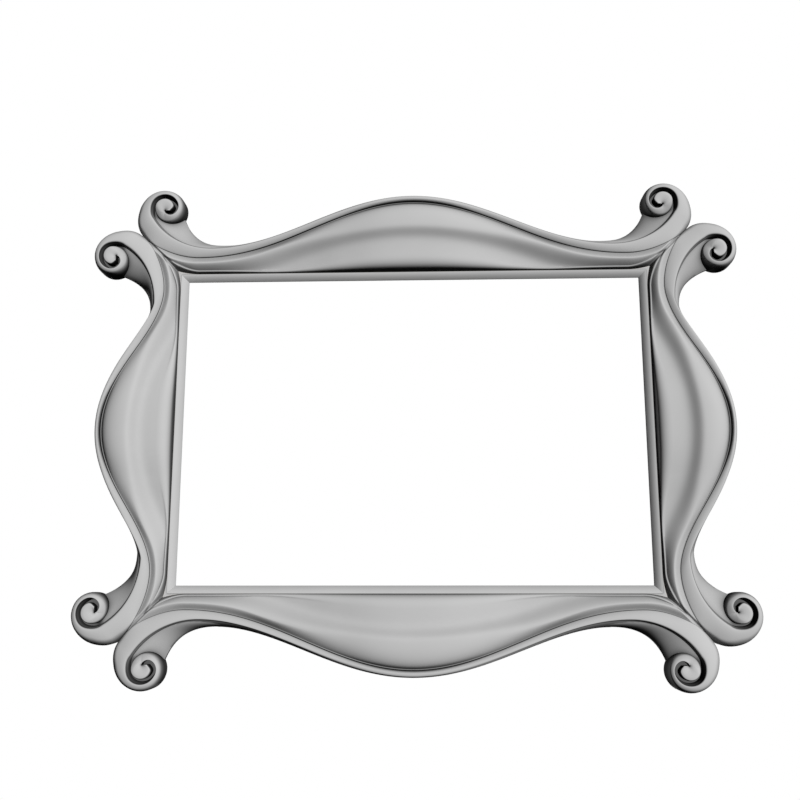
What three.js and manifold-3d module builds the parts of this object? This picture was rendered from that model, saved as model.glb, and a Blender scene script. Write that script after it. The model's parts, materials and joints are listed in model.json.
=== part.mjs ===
// Carved picture frame: four mitred rails with scrolled ends, a rounded sight slip and the fittings behind.
// Millimetres, +Z up, the front faces -Y. The origin is on the flat back of the top rail, in the middle.
import * as THREE from 'three';
import { mergeVertices } from 'three/addons/utils/BufferGeometryUtils.js';
import Module from 'manifold-3d';

const wasm = await Module();
wasm.setup();

// Opening and clearances
const SIGHT_WIDTH = 438;
const SIGHT_HEIGHT = 292.6;
const MITRE_GAP = 0.3;
const SEAT_GAP = 0.3;
const HOLE_CLEARANCE = 0.15;

// Sight slip: an L section, with the rabbet for the picture behind its face
const SLIP_FACE = 7.1;
const SLIP_WIDTH = 12;
const SLIP_EDGE_HEIGHT = 6.4;
const SLIP_CROWN_HEIGHT = 9.4;
const SLIP_TONGUE_HEIGHT = 8.8;
const SLIP_BACK_BEVEL = 1.2;
const SLIP_ANGLES = [0, 25, 50, 72, 90];
const RABBET_WIDTH = 7;
const RABBET_DEPTH = 3.5;

// Edges of the ribbon and the rim outside it: outward distance from the sight edge at the rail's middle
// and at its waist, and how far before the sight corner the waist lies
const NEAR_CREST = 75.3;
const NEAR_WAIST = 22;
const NEAR_WAIST_BACK = 12;
const FAR_WAIST = 30.3;
const FAR_WAIST_BACK = 25;
const RIM_WAIST = 36.9;
const FAR_FROM_RIM = 1;

// What differs between long and short rails: the rim's crest and waist, and how soon each edge swells
const LONG_SWELL = { rimCrest: 80.2, rimWaistBack: 42, near: 0.97, far: 0.93, rim: 0.92 };
const SHORT_SWELL = { rimCrest: 79, rimWaistBack: 31, near: 0.88, far: 0.76, rim: 0.76 };

// Ribbon from the waist into the scroll: lead out of the waist and pull back from the scroll
const NEAR_LEAD = 26;
const NEAR_PULL = new THREE.Vector2(8.6, 11.8);
const FAR_LEAD = 24;
const FAR_PULL = new THREE.Vector2(12.1, 20.3);

// Scroll: its eye past the sight corner, and the ribbon's radii round the eye at each eighth of a turn
const EYE = new THREE.Vector2(24.4, 73);
const SCROLL_START_TURN = -1 / 8;
const SCROLL_OUTSIDE = [34.2, 28.3, 23.4, 21.1, 19.7, 18.6, 16.4, 13.2, 10.8, 9.35];
const SCROLL_INSIDE = [16.6, 15, 14.6, 13.4, 13.2, 13.2, 9.6, 3.8];
const EYE_END_TURN = 1.58;
const EYE_END_RADIUS = 7;
const EYE_PIVOT = new THREE.Vector2(-0.6, -3.2);
const EYE_PIVOT_RADIUS = 0.5;
const EYE_RISE = { from: 0.75, to: 1.1 };
const SCROLL_UNDERCUT = 2;
const UNDERCUT_FADE = { from: 0.15, to: 0.35 };
const SCROLL_FLOOR_RADIUS = 16;
const SCROLL_FLOOR_HEIGHT = 11.5;

// Heights above the back, at the rail's middle and at its waist
const INNER_LOBE = { middle: 26.6, waist: 14.3 };
const STEP = { middle: 27.5, waist: 16.5 };
const OUTER_LOBE = { middle: 29.8, waist: 19 };
const GROOVE = { middle: 19.3, waist: 16.4 };
const NEAR_EDGE = { middle: 24.1, waist: 18.5 };
const RIBBON_CROWN = { middle: 25.2, waist: 19.8 };
const FAR_EDGE = { middle: 24.3, waist: 17.6 };
const RIM_HEIGHT = { middle: 23, waist: 8.6 };
const RIM_RISE_POWER = 0.45;
const RIM_SUNK_HEIGHT = 2;
const RIM_SINK_SHARE = 0.5;
const NOTCH_HEIGHT = 9;
const NOTCH_START_SHARE = 0.6;
const SCROLL_RIM = [NOTCH_HEIGHT, 14.5, 15.6, 13, 9, 8, 13.5, 16, 16.5];
const SCROLL_INSIDE_HEIGHT = 18.6;
const EYE_CROWN = 21.6;
const EYE_EDGE_DROP = 1;

// Panel section: share of its width where the step lies, and the rounding of its inner wall
const STEP_SHARE = { middle: 0.51, waist: 0.28 };
const STEP_RISE = { from: 0.08, to: 0.42 };
const WALL_SHARE = 0.36;
const LOBE_END_SHARE = 0.86;
const CREST_SHARE = 0.24;
const PANEL_TUCK = 1.2;
const PANEL_BEND_SHARE = 0.78;
const PANEL_OVERRUN = 0.6;
const WALL_FLARE = 3.6;
const WALL_ANGLES = [0, 20, 45, 68, 90];
const LOBE_ANGLES = [0, 28, 50, 70, 84];

// Leaf between the ribbon and the scroll: its free edge carries on from the rim, its other edge is hidden
// under the ribbon; its slope is given as shares across and shares of the drop
const LEAF_RUN_IN = 6;
const LEAF_FREE_EDGE = [[-14, 35.2], [0, 45.5], [8, 67]];
const LEAF_HIDDEN_EDGE = [[-50, 27], [0, 26], [30, 40], [41, 66]];
const LEAF_EDGE_HEIGHT = 3;
const LEAF_EDGE_SINK_SHARE = 0.5;
const LEAF_ROOT_HEIGHT = 13;
const LEAF_SLOPE = [[0, 1], [0.5, 0.86], [0.8, 0.45], [1, 0]];

// Corner keys
const KEY_LENGTH = 30;
const KEY_END_WIDTH = 13;
const KEY_WAIST_WIDTH = 7;
const KEY_DEPTH = 4;
const KEY_CORNER_DISTANCE = 27;

// Turn buttons and their screws
const LONG_BUTTON_SPACING = 220;
const BUTTON_WIDTH = 9;
const BUTTON_THICKNESS = 2;
const BUTTON_HOLD = 5;
const BUTTON_MARGIN = 2;
const SCREW_RADIUS = 1.5;
const SCREW_DEPTH = 11;
const SCREW_HEAD_RADIUS = 3.2;
const SCREW_HEAD_HEIGHT = 1.7;
const SCREW_HEAD_ANGLES = [35, 70];

// Ring hangers
const HANGER_ABOVE_CENTRE = 70;
const HANGER_FROM_SIGHT = 42;
const STRAP_WIDTH = 12;
const STRAP_LENGTH = 29;
const STRAP_THICKNESS = 1.2;
const STRAP_LAP = 6.5;
const STRAP_WRAP_ANGLE = 120;
const RING_WIRE_RADIUS = 1.25;
const RING_CLEARANCE = 0.45;
const RING_HALF_WIDTH = 9;
const RING_DROP = 16;
const RING_CORNER = 2.5;
const STRAP_SCREWS_BELOW_RING = [10.4, 22.5];

// Wall bumpers
const BUMPER_RADIUS = 5;
const BUMPER_THICKNESS = 5.2;
const BUMPER_FROM_CORNER = 36;
const BUMPER_FROM_SIGHT = 21.5;

// Where the origin lies on the top rail's back
const ORIGIN_FROM_SIGHT = 45;

// Facets
const SWELL_STEPS = 9;
const BEND_STEPS = 5;
const SCROLL_STEPS_PER_TURN = 12;
const LEAF_STEPS = 8;
const FLOOR_SIDES = 18;
const ROUND_SIDES = 12;
const WIRE_SIDES = 8;
const RING_CORNER_STEPS = 3;
const RING_BEND_STEPS = 9;
const MERGE_TOLERANCE = 1e-4;
const TRIM_DEPTH = 3;
const TRIM_HEIGHT = 60;
const TRIM_REACH = 130;

const HALF_WIDTH = SIGHT_WIDTH / 2;
const HALF_HEIGHT = SIGHT_HEIGHT / 2;
const REBATE_WIDTH = SLIP_WIDTH + SEAT_GAP;
const REBATE_HEIGHT = SLIP_TONGUE_HEIGHT + SEAT_GAP;
const WALL_FOOT = SLIP_FACE + SEAT_GAP;
const MITRE_INSET = MITRE_GAP / Math.SQRT2;
const { degToRad, lerp, smoothstep } = THREE.MathUtils;

const timber = { color: 0xc6c6c4, roughness: 0.55, metalness: 0 };
const keyTimber = { color: 0xb08a5c, roughness: 0.7, metalness: 0 };
const plated = { color: 0xb9b6ae, roughness: 0.35, metalness: 1 };
const brassy = { color: 0xc2a15a, roughness: 0.35, metalness: 1 };
const pad = { color: 0x3a3a3a, roughness: 0.9, metalness: 0 };

// A mesh with its own material
function piece(name, geometry, finish) {
  const mesh = new THREE.Mesh(geometry, new THREE.MeshStandardMaterial(finish));
  mesh.name = name;
  return mesh;
}

// A point on a rail: along it from its middle, outward from the sight edge, and above the back
function railPoint(across, along, outward, height) {
  return new THREE.Vector3(along, -height, across + outward);
}

// A smooth value through evenly spaced knots, counted from the first
function through(knots, position) {
  const spline = new THREE.SplineCurve(knots.map((value, index) => new THREE.Vector2(index, value)));
  const last = knots.length - 1;
  return spline.getPoint(Math.min(Math.max(position / last, 0), 1)).y;
}

// Signed volume of an indexed triangle mesh
function signedVolume(points, triangles) {
  let total = 0;
  for (const [a, b, c] of triangles) {
    total += points[a].dot(new THREE.Vector3().crossVectors(points[b], points[c])) / 6;
  }
  return total;
}

// A closed solid through sections of equally many points, with flat caps or closed on itself
function loft(sections, capAxes) {
  const count = sections[0].length;
  const points = sections.flat();
  const triangles = [];
  const spans = capAxes ? sections.length - 1 : sections.length;
  for (let i = 0; i < spans; i += 1) {
    for (let j = 0; j < count; j += 1) {
      const a = i * count + j;
      const b = i * count + ((j + 1) % count);
      const c = ((i + 1) % sections.length) * count + j;
      const d = ((i + 1) % sections.length) * count + ((j + 1) % count);
      triangles.push([a, c, b], [b, c, d]);
    }
  }
  if (capAxes) {
    const start = cap(sections[0], capAxes);
    const end = cap(sections[sections.length - 1], capAxes);
    const offset = (sections.length - 1) * count;
    triangles.push(...start);
    triangles.push(...end.map(([a, b, c]) => [offset + a, offset + c, offset + b]));
  }
  const outward = signedVolume(points, triangles) > 0;
  const geometry = new THREE.BufferGeometry();
  geometry.setFromPoints(points);
  geometry.setIndex(triangles.flatMap(([a, b, c]) => (outward ? [a, b, c] : [a, c, b])));
  geometry.computeVertexNormals();
  return geometry;
}

// Triangles of a flat cap, wound so that the loop's own direction faces along the first cap
function cap(section, axes) {
  const flat = section.map((point) => new THREE.Vector2(point.dot(axes[0]), point.dot(axes[1])));
  const clockwise = THREE.ShapeUtils.isClockWise(flat);
  const faces = THREE.ShapeUtils.triangulateShape(clockwise ? flat.slice().reverse() : flat, []);
  const last = section.length - 1;
  const index = (i) => (clockwise ? last - i : i);
  const loopFaces = faces.map(([a, b, c]) => [index(a), index(b), index(c)]);
  return clockwise ? loopFaces.map(([a, b, c]) => [a, c, b]) : loopFaces;
}

// Manifold solid from a closed geometry, and back
function solidOf(geometry) {
  const bare = geometry.clone();
  bare.deleteAttribute('normal');
  bare.deleteAttribute('uv');
  const merged = mergeVertices(bare, MERGE_TOLERANCE);
  const mesh = new wasm.Mesh({
    numProp: 3,
    vertProperties: new Float32Array(merged.getAttribute('position').array),
    triVerts: new Uint32Array(merged.getIndex().array),
  });
  return new wasm.Manifold(mesh);
}

function geometryOf(solid) {
  const mesh = solid.getMesh();
  const geometry = new THREE.BufferGeometry();
  geometry.setAttribute('position', new THREE.BufferAttribute(new Float32Array(mesh.vertProperties), 3));
  geometry.setIndex(new THREE.BufferAttribute(new Uint32Array(mesh.triVerts), 1));
  geometry.computeVertexNormals();
  return geometry;
}

// A prism between two heights over an outline of (along, outward) points on a rail
function prism(across, outline, low, high) {
  const level = (height) => outline.map(([along, outward]) => railPoint(across, along, outward, height));
  return loft([level(low), level(high)], [new THREE.Vector3(1, 0, 0), new THREE.Vector3(0, 0, 1)]);
}

// A round bar that stands on the back of a rail
function postOnRail(across, along, outward, radius, low, high, sides) {
  const outline = Array.from({ length: sides }, (_, i) => {
    const angle = (2 * Math.PI * i) / sides;
    return [along + radius * Math.cos(angle), outward + radius * Math.sin(angle)];
  });
  return prism(across, outline, low, high);
}

// Swell of the rail: 1 at its middle, 0 at its waist
function swell(share, power) {
  return (1 - Math.cos(Math.PI * (1 - share) ** power)) / 2;
}

function blend(pair, amount) {
  return lerp(pair.waist, pair.middle, amount);
}

// A point on the scroll, from the radius knots and the turn round the eye
function scrollPoint(knots, turn) {
  const radius = through(knots, 8 * (turn - SCROLL_START_TURN));
  const angle = 2 * Math.PI * turn;
  return new THREE.Vector2(radius * Math.cos(angle), radius * Math.sin(angle)).add(EYE);
}

// The inside of the scroll ends on a small pivot, about which the eye fans out
function insidePoint(turn) {
  const lastTurn = SCROLL_START_TURN + (SCROLL_INSIDE.length - 1) / 8;
  if (turn < lastTurn) {
    return scrollPoint(SCROLL_INSIDE, turn);
  }
  const angle = 2 * Math.PI * turn;
  const reach = new THREE.Vector2(Math.cos(angle), Math.sin(angle)).multiplyScalar(EYE_PIVOT_RADIUS);
  return reach.add(EYE).add(EYE_PIVOT);
}

// The outside of the scroll closes in on the eye and tapers at its tip
function outsidePoint(turn) {
  const eyeTurn = SCROLL_START_TURN + (SCROLL_OUTSIDE.length - 1) / 8;
  const taper = smoothstep(turn, EYE_END_TURN - 1 / 8, EYE_END_TURN);
  const eyeRadius = SCROLL_OUTSIDE[SCROLL_OUTSIDE.length - 1];
  const point = scrollPoint(SCROLL_OUTSIDE, turn);
  if (turn < eyeTurn) {
    return point;
  }
  return point.sub(EYE).multiplyScalar(lerp(1, EYE_END_RADIUS / eyeRadius, taper)).add(EYE);
}

// The ribbon's near and far edges bend from the waist into the scroll
function bendCurve(waist, lead, end, pull) {
  const leadPoint = new THREE.Vector2(waist.x + lead, waist.y);
  return new THREE.CubicBezierCurve(waist, leadPoint, end.clone().sub(pull), end);
}

const nearWaist = new THREE.Vector2(-NEAR_WAIST_BACK, NEAR_WAIST);
const farWaist = new THREE.Vector2(-FAR_WAIST_BACK, FAR_WAIST);
const nearBend = bendCurve(nearWaist, NEAR_LEAD, outsidePoint(SCROLL_START_TURN), NEAR_PULL);
const farBend = bendCurve(farWaist, FAR_LEAD, insidePoint(SCROLL_START_TURN), FAR_PULL);

// A point of an edge on the swelling stretch, from the rail's middle to the waist
function swellPoint(half, power, share, waist, crest) {
  const rise = swell(share, power);
  return new THREE.Vector2(lerp(-half, waist.x, share), lerp(waist.y, crest, rise));
}

// The rim's waist on a rail, where the leaf takes over
function rimWaist(shape) {
  return new THREE.Vector2(-shape.rimWaistBack, RIM_WAIST);
}

// Stations of the ribbon from the rail's middle to the waist
function swellStations(half, shape) {
  const stations = [];
  for (let i = 0; i < SWELL_STEPS; i += 1) {
    const share = i / SWELL_STEPS;
    const rise = swell(share, shape.near);
    stations.push({
      near: swellPoint(half, shape.near, share, nearWaist, NEAR_CREST),
      far: swellPoint(half, shape.far, share, farWaist, shape.rimCrest - FAR_FROM_RIM),
      rim: swellPoint(half, shape.rim, share, rimWaist(shape), shape.rimCrest),
      nearHeight: blend(NEAR_EDGE, rise),
      crown: blend(RIBBON_CROWN, rise * rise),
      farHeight: blend(FAR_EDGE, rise * rise),
      rimHeight: blend(RIM_HEIGHT, rise ** RIM_RISE_POWER),
      undercut: 0,
    });
  }
  return stations;
}

// Stations of the ribbon from the waist to the scroll, where its rim sinks under the leaf
function bendStations(shape) {
  const stations = [];
  const rimReach = rimWaist(shape).sub(farWaist);
  for (let i = 0; i < BEND_STEPS; i += 1) {
    const share = i / BEND_STEPS;
    const far = farBend.getPoint(share);
    stations.push({
      near: nearBend.getPoint(share),
      far,
      rim: far.clone().addScaledVector(rimReach, (1 - share) ** 2),
      nearHeight: lerp(NEAR_EDGE.waist, NOTCH_HEIGHT, smoothstep(share, NOTCH_START_SHARE, 1)),
      crown: RIBBON_CROWN.waist,
      farHeight: lerp(FAR_EDGE.waist, SCROLL_INSIDE_HEIGHT, share),
      rimHeight: lerp(RIM_HEIGHT.waist, RIM_SUNK_HEIGHT, smoothstep(share, 0, RIM_SINK_SHARE)),
      undercut: 0,
    });
  }
  return stations;
}

// Stations of the ribbon round the scroll to the tip of the eye
function scrollStations() {
  const stations = [];
  const steps = Math.ceil((EYE_END_TURN - SCROLL_START_TURN) * SCROLL_STEPS_PER_TURN);
  for (let i = 0; i <= steps; i += 1) {
    const turn = lerp(SCROLL_START_TURN, EYE_END_TURN, i / steps);
    const inEye = smoothstep(turn, EYE_RISE.from, EYE_RISE.to);
    const fade = smoothstep(turn, UNDERCUT_FADE.from, UNDERCUT_FADE.to);
    const far = insidePoint(turn);
    stations.push({
      near: outsidePoint(turn),
      far,
      rim: far,
      nearHeight: through(SCROLL_RIM, 8 * (turn - SCROLL_START_TURN)),
      crown: lerp(RIBBON_CROWN.waist, EYE_CROWN, inEye),
      farHeight: lerp(SCROLL_INSIDE_HEIGHT, EYE_CROWN - EYE_EDGE_DROP, inEye),
      rimHeight: RIM_SUNK_HEIGHT,
      undercut: SCROLL_UNDERCUT * smoothstep(turn, SCROLL_START_TURN, 0) * (1 - fade),
    });
  }
  return stations;
}

// Crowned section of the ribbon: share across from near to far, and share of the rise to the crown
const RIBBON_NEAR_SIDE = [[0, 0], [0.12, 0.58], [0.34, 0.94]];
const RIBBON_FAR_SIDE = [[0.66, 1], [0.9, 0.6], [1, 0]];

function ribbonSection(station) {
  const { near, far, rim, nearHeight, crown, farHeight, rimHeight, undercut } = station;
  const nearFoot = near.clone().lerp(far, undercut / near.distanceTo(far));
  const section = [{ plan: nearFoot, height: -TRIM_DEPTH }];
  for (const [share, rise] of RIBBON_NEAR_SIDE) {
    section.push({ plan: near.clone().lerp(far, share), height: lerp(nearHeight, crown, rise) });
  }
  for (const [share, rise] of RIBBON_FAR_SIDE) {
    section.push({ plan: near.clone().lerp(far, share), height: lerp(farHeight, crown, rise) });
  }
  section.push({ plan: rim, height: rimHeight }, { plan: rim, height: -TRIM_DEPTH });
  return section;
}

// Section of the panel between the wall over the slip and the groove beside the ribbon
function panelSection(inner, outer, tuck, rise) {
  const stepShare = lerp(STEP_SHARE.waist, STEP_SHARE.middle, smoothstep(rise, STEP_RISE.from, STEP_RISE.to));
  const lobeHeight = blend(INNER_LOBE, rise);
  const crestHeight = blend(OUTER_LOBE, rise);
  const grooveHeight = blend(GROOVE, rise);
  const outline = [[0, -TRIM_DEPTH]];
  for (const degrees of WALL_ANGLES) {
    const angle = degToRad(degrees);
    const share = stepShare * WALL_SHARE * (1 - Math.cos(angle));
    outline.push([share, lerp(REBATE_HEIGHT, lobeHeight, Math.sin(angle))]);
  }
  outline.push([stepShare * LOBE_END_SHARE, lobeHeight]);
  outline.push([stepShare, blend(STEP, rise)]);
  for (const degrees of LOBE_ANGLES) {
    const angle = degToRad(degrees);
    const lobeShare = CREST_SHARE + (1 - CREST_SHARE) * Math.sin(angle);
    outline.push([lerp(stepShare, 1, lobeShare), lerp(grooveHeight, crestHeight, Math.cos(angle))]);
  }
  outline.push([1, grooveHeight]);
  const points = outline.map(([share, height]) => ({ plan: inner.clone().lerp(outer, share), height }));
  points.push({ plan: tuck, height: grooveHeight }, { plan: tuck, height: -TRIM_DEPTH });
  return points;
}

// Panel sections from the rail's middle to just past the mitre
function panelSections(half, shape) {
  const sections = [];
  for (let i = 0; i < SWELL_STEPS; i += 1) {
    const share = i / SWELL_STEPS;
    const outer = swellPoint(half, shape.near, share, nearWaist, NEAR_CREST);
    const tuck = outer.clone().add(new THREE.Vector2(0, PANEL_TUCK));
    const inner = new THREE.Vector2(outer.x, WALL_FOOT);
    sections.push(panelSection(inner, outer, tuck, swell(share, shape.near)));
  }
  const mitreFoot = WALL_FOOT + WALL_FLARE;
  for (let i = 0; i <= BEND_STEPS; i += 1) {
    const share = i / BEND_STEPS;
    const outer = nearBend.getPoint(PANEL_BEND_SHARE * share);
    const tuck = outer.clone().add(new THREE.Vector2(0, PANEL_TUCK));
    const innerAlong = lerp(nearWaist.x, mitreFoot + PANEL_OVERRUN, share);
    const inner = new THREE.Vector2(innerAlong, WALL_FOOT + WALL_FLARE * share ** 2);
    sections.push(panelSection(inner, outer, tuck, 0));
  }
  return sections;
}

// Leaf: a slope ruled from its hidden edge under the ribbon down to its free edge
function leafSections(shape) {
  const curve = (points) => new THREE.CubicBezierCurve(...points.map(([x, y]) => new THREE.Vector2(x, y)));
  const start = rimWaist(shape);
  const free = curve([[start.x - LEAF_RUN_IN, start.y], ...LEAF_FREE_EDGE]);
  const hidden = curve(LEAF_HIDDEN_EDGE);
  const sections = [];
  for (let i = 0; i <= LEAF_STEPS; i += 1) {
    const share = i / LEAF_STEPS;
    const root = hidden.getPoint(share);
    const edge = free.getPoint(share);
    const edgeHeight = lerp(RIM_HEIGHT.waist, LEAF_EDGE_HEIGHT, smoothstep(share, 0, LEAF_EDGE_SINK_SHARE));
    const outline = LEAF_SLOPE.map(([across, drop]) => [across, lerp(edgeHeight, LEAF_ROOT_HEIGHT, drop)]);
    outline.push([1, -TRIM_DEPTH], [0, -TRIM_DEPTH]);
    sections.push(outline.map(([across, height]) => ({ plan: root.clone().lerp(edge, across), height })));
  }
  return sections;
}

// Corner coordinates to a rail: side 1 is the end towards +along, side -1 the other
function onRail(section, across, half, side) {
  return section.map(({ plan, height }) => railPoint(across, side * (half + plan.x), plan.y, height));
}

// A body that runs the whole length of the rail, from sections of one half
function fullLength(sections, across, half, capAxes) {
  const left = sections.slice(1).reverse().map((section) => onRail(section, across, half, -1));
  const right = sections.map((section) => onRail(section, across, half, 1));
  return loft([...left, ...right], capAxes);
}

const ALONG = new THREE.Vector3(1, 0, 0);
const DEPTH = new THREE.Vector3(0, -1, 0);
const UP = new THREE.Vector3(0, 0, 1);

// Outline of the stretch of plane that belongs to a rail between its two mitres
function mitreOutline(half) {
  const inner = half - TRIM_DEPTH - MITRE_INSET;
  const outer = half + TRIM_REACH - MITRE_INSET;
  return [[-inner, -TRIM_DEPTH], [inner, -TRIM_DEPTH], [outer, TRIM_REACH], [-outer, TRIM_REACH]];
}

// Double dovetail outline centred on the mitre, at the rail's end given by side
function keyOutline(half, side, clearance) {
  const waist = KEY_WAIST_WIDTH / 2 + clearance;
  const end = KEY_END_WIDTH / 2 + clearance;
  const reach = KEY_LENGTH / 2 + clearance;
  const local = [[-reach, -end], [0, -waist], [reach, -end], [reach, end], [0, waist], [-reach, end]];
  const centre = KEY_CORNER_DISTANCE;
  return local.map(([long, wide]) => {
    const past = centre + (wide + long) / Math.SQRT2;
    const outward = centre + (wide - long) / Math.SQRT2;
    return [side * (half + past), outward];
  });
}

// One carved rail: panel, ribbon with its scrolls, leaves and scroll floors, trimmed and cut for its fittings
function carvedRail(half, across, shape, screwHoles) {
  const stations = [...swellStations(half, shape), ...bendStations(shape), ...scrollStations()];
  const ribbon = stations.map(ribbonSection);
  const ribbonCap = [new THREE.Vector3(1, 0, 1).normalize(), DEPTH];
  let solid = solidOf(fullLength(panelSections(half, shape), across, half, [UP, DEPTH]));
  solid = solid.add(solidOf(fullLength(ribbon, across, half, ribbonCap)));
  for (const side of [-1, 1]) {
    const leaf = leafSections(shape).map((section) => onRail(section, across, half, side));
    solid = solid.add(solidOf(loft(leaf, [ALONG, DEPTH])));
    const eyeAlong = side * (half + EYE.x);
    const low = -TRIM_DEPTH;
    const floor = postOnRail(
      across, eyeAlong, EYE.y, SCROLL_FLOOR_RADIUS, low, SCROLL_FLOOR_HEIGHT, FLOOR_SIDES,
    );
    solid = solid.add(solidOf(floor));
  }
  solid = solid.intersect(solidOf(prism(across, mitreOutline(half), 0, TRIM_HEIGHT)));
  const reach = half + TRIM_REACH;
  const rebate = [
    [-reach, -TRIM_DEPTH], [reach, -TRIM_DEPTH], [reach, REBATE_WIDTH], [-reach, REBATE_WIDTH],
  ];
  solid = solid.subtract(solidOf(prism(across, rebate, -TRIM_DEPTH, REBATE_HEIGHT)));
  for (const side of [-1, 1]) {
    const pocket = prism(across, keyOutline(half, side, HOLE_CLEARANCE), -TRIM_DEPTH, KEY_DEPTH + SEAT_GAP);
    solid = solid.subtract(solidOf(pocket));
  }
  const holeRadius = SCREW_RADIUS + HOLE_CLEARANCE;
  const holeDepth = SCREW_DEPTH + SEAT_GAP;
  for (const [along, outward] of screwHoles) {
    const hole = postOnRail(across, along, outward, holeRadius, -TRIM_DEPTH, holeDepth, ROUND_SIDES);
    solid = solid.subtract(solidOf(hole));
  }
  return geometryOf(solid);
}

// Sight slip: rounded face towards the opening, tongue under the panel, rabbet behind
function sightSlip(half, across) {
  const profile = [[SLIP_BACK_BEVEL, RABBET_DEPTH]];
  for (const degrees of SLIP_ANGLES) {
    const angle = degToRad(degrees);
    const outward = SLIP_FACE * (1 - Math.cos(angle));
    profile.push([outward, lerp(SLIP_EDGE_HEIGHT, SLIP_CROWN_HEIGHT, Math.sin(angle))]);
  }
  profile.push([SLIP_FACE, SLIP_TONGUE_HEIGHT], [SLIP_WIDTH, SLIP_TONGUE_HEIGHT], [SLIP_WIDTH, 0]);
  profile.push([RABBET_WIDTH, 0], [RABBET_WIDTH, RABBET_DEPTH]);
  const end = (side) => profile.map(([outward, height]) => (
    railPoint(across, side * (half + outward - MITRE_INSET), outward, height)
  ));
  return loft([end(-1), end(1)], [UP, DEPTH]);
}

// Wood screw with a domed head through a plate; its axis is Y, its head's seat at the origin, its point at -Y
function woodScrew(plate) {
  const profile = [new THREE.Vector2(0, -SCREW_HEAD_HEIGHT)];
  for (const degrees of SCREW_HEAD_ANGLES) {
    const angle = degToRad(degrees);
    const radius = SCREW_HEAD_RADIUS * Math.sin(angle);
    profile.push(new THREE.Vector2(radius, -SCREW_HEAD_HEIGHT * Math.cos(angle)));
  }
  const length = SCREW_DEPTH + plate + 2 * SEAT_GAP;
  profile.push(new THREE.Vector2(SCREW_HEAD_RADIUS, 0), new THREE.Vector2(SCREW_RADIUS, 0));
  profile.push(new THREE.Vector2(SCREW_RADIUS, length - 2 * SCREW_RADIUS), new THREE.Vector2(0, length));
  const geometry = new THREE.LatheGeometry(profile, ROUND_SIDES);
  geometry.rotateX(Math.PI);
  return geometry;
}

// Turn button: a bar with round ends, turning on its screw; it lies along +X from the pivot
const BUTTON_PIVOT = REBATE_WIDTH + BUTTON_MARGIN + BUTTON_WIDTH / 2;
const BUTTON_REACH = BUTTON_PIVOT - RABBET_WIDTH + BUTTON_HOLD;

function turnButton() {
  const radius = BUTTON_WIDTH / 2;
  const shape = new THREE.Shape();
  shape.absarc(0, 0, radius, Math.PI / 2, (3 * Math.PI) / 2);
  shape.absarc(BUTTON_REACH - radius, 0, radius, -Math.PI / 2, Math.PI / 2);
  const hole = new THREE.Path();
  hole.absarc(0, 0, SCREW_RADIUS + HOLE_CLEARANCE, 0, 2 * Math.PI);
  shape.holes.push(hole);
  const options = { depth: BUTTON_THICKNESS, bevelEnabled: false, curveSegments: ROUND_SIDES / 2 };
  const geometry = new THREE.ExtrudeGeometry(shape, options);
  geometry.rotateX(-Math.PI / 2);
  return geometry;
}

// Ring hanger: a strap folded round the ring's bar; Y runs away from the rail's back, Z up, the bar along X
const LOOP_INNER = RING_WIRE_RADIUS + RING_CLEARANCE;
const LOOP_OUTER = LOOP_INNER + STRAP_THICKNESS;
const BAR_DEPTH = SEAT_GAP + LOOP_OUTER;

function ringStrap() {
  const shape = new THREE.Shape();
  shape.moveTo(-STRAP_LENGTH, SEAT_GAP);
  shape.lineTo(-STRAP_LENGTH, SEAT_GAP + STRAP_THICKNESS);
  shape.lineTo(-STRAP_LAP, SEAT_GAP + STRAP_THICKNESS);
  shape.absarc(0, BAR_DEPTH, LOOP_OUTER, degToRad(STRAP_WRAP_ANGLE), -Math.PI / 2, true);
  const bar = new THREE.Path();
  bar.absarc(0, BAR_DEPTH, LOOP_INNER, 0, 2 * Math.PI);
  shape.holes.push(bar);
  const options = { depth: STRAP_WIDTH, bevelEnabled: false, curveSegments: ROUND_SIDES };
  const geometry = new THREE.ExtrudeGeometry(shape, options);
  geometry.translate(0, 0, -STRAP_WIDTH / 2);
  const axes = new THREE.Matrix4().makeBasis(UP, new THREE.Vector3(0, 1, 0), new THREE.Vector3(-1, 0, 0));
  geometry.applyMatrix4(axes);
  let solid = solidOf(geometry);
  for (const below of STRAP_SCREWS_BELOW_RING) {
    const radius = SCREW_RADIUS + HOLE_CLEARANCE;
    const hole = postOnRail(0, 0, -below, radius, -LOOP_OUTER, LOOP_OUTER, ROUND_SIDES);
    solid = solid.subtract(solidOf(hole));
  }
  return geometryOf(solid);
}

// D ring of round wire hanging from its straight bar
function hangingRing() {
  const corner = RING_CORNER;
  const low = RING_DROP - RING_HALF_WIDTH;
  const stations = [];
  const arc = (x, z, radius, from, to, steps) => {
    for (let i = 0; i <= steps; i += 1) {
      const angle = degToRad(lerp(from, to, i / steps));
      const outward = new THREE.Vector3(Math.cos(angle), 0, Math.sin(angle));
      const centre = new THREE.Vector3(x, 0, z).addScaledVector(outward, radius);
      stations.push({ centre, outward });
    }
  };
  arc(-RING_HALF_WIDTH + corner, -corner, corner, 180, 90, RING_CORNER_STEPS);
  arc(RING_HALF_WIDTH - corner, -corner, corner, 90, 0, RING_CORNER_STEPS);
  arc(0, -low, RING_HALF_WIDTH, 0, -180, RING_BEND_STEPS);
  const sections = stations.map(({ centre, outward }) => Array.from({ length: WIRE_SIDES }, (_, i) => {
    const angle = (2 * Math.PI * i) / WIRE_SIDES;
    const point = centre.clone().addScaledVector(outward, RING_WIRE_RADIUS * Math.cos(angle));
    point.y = RING_WIRE_RADIUS * Math.sin(angle);
    return point;
  }));
  return loft(sections, null);
}

const frame = new THREE.Group();
const body = new THREE.Group();
body.position.z = -(HALF_HEIGHT + ORIGIN_FROM_SIGHT);
frame.add(body);

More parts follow.
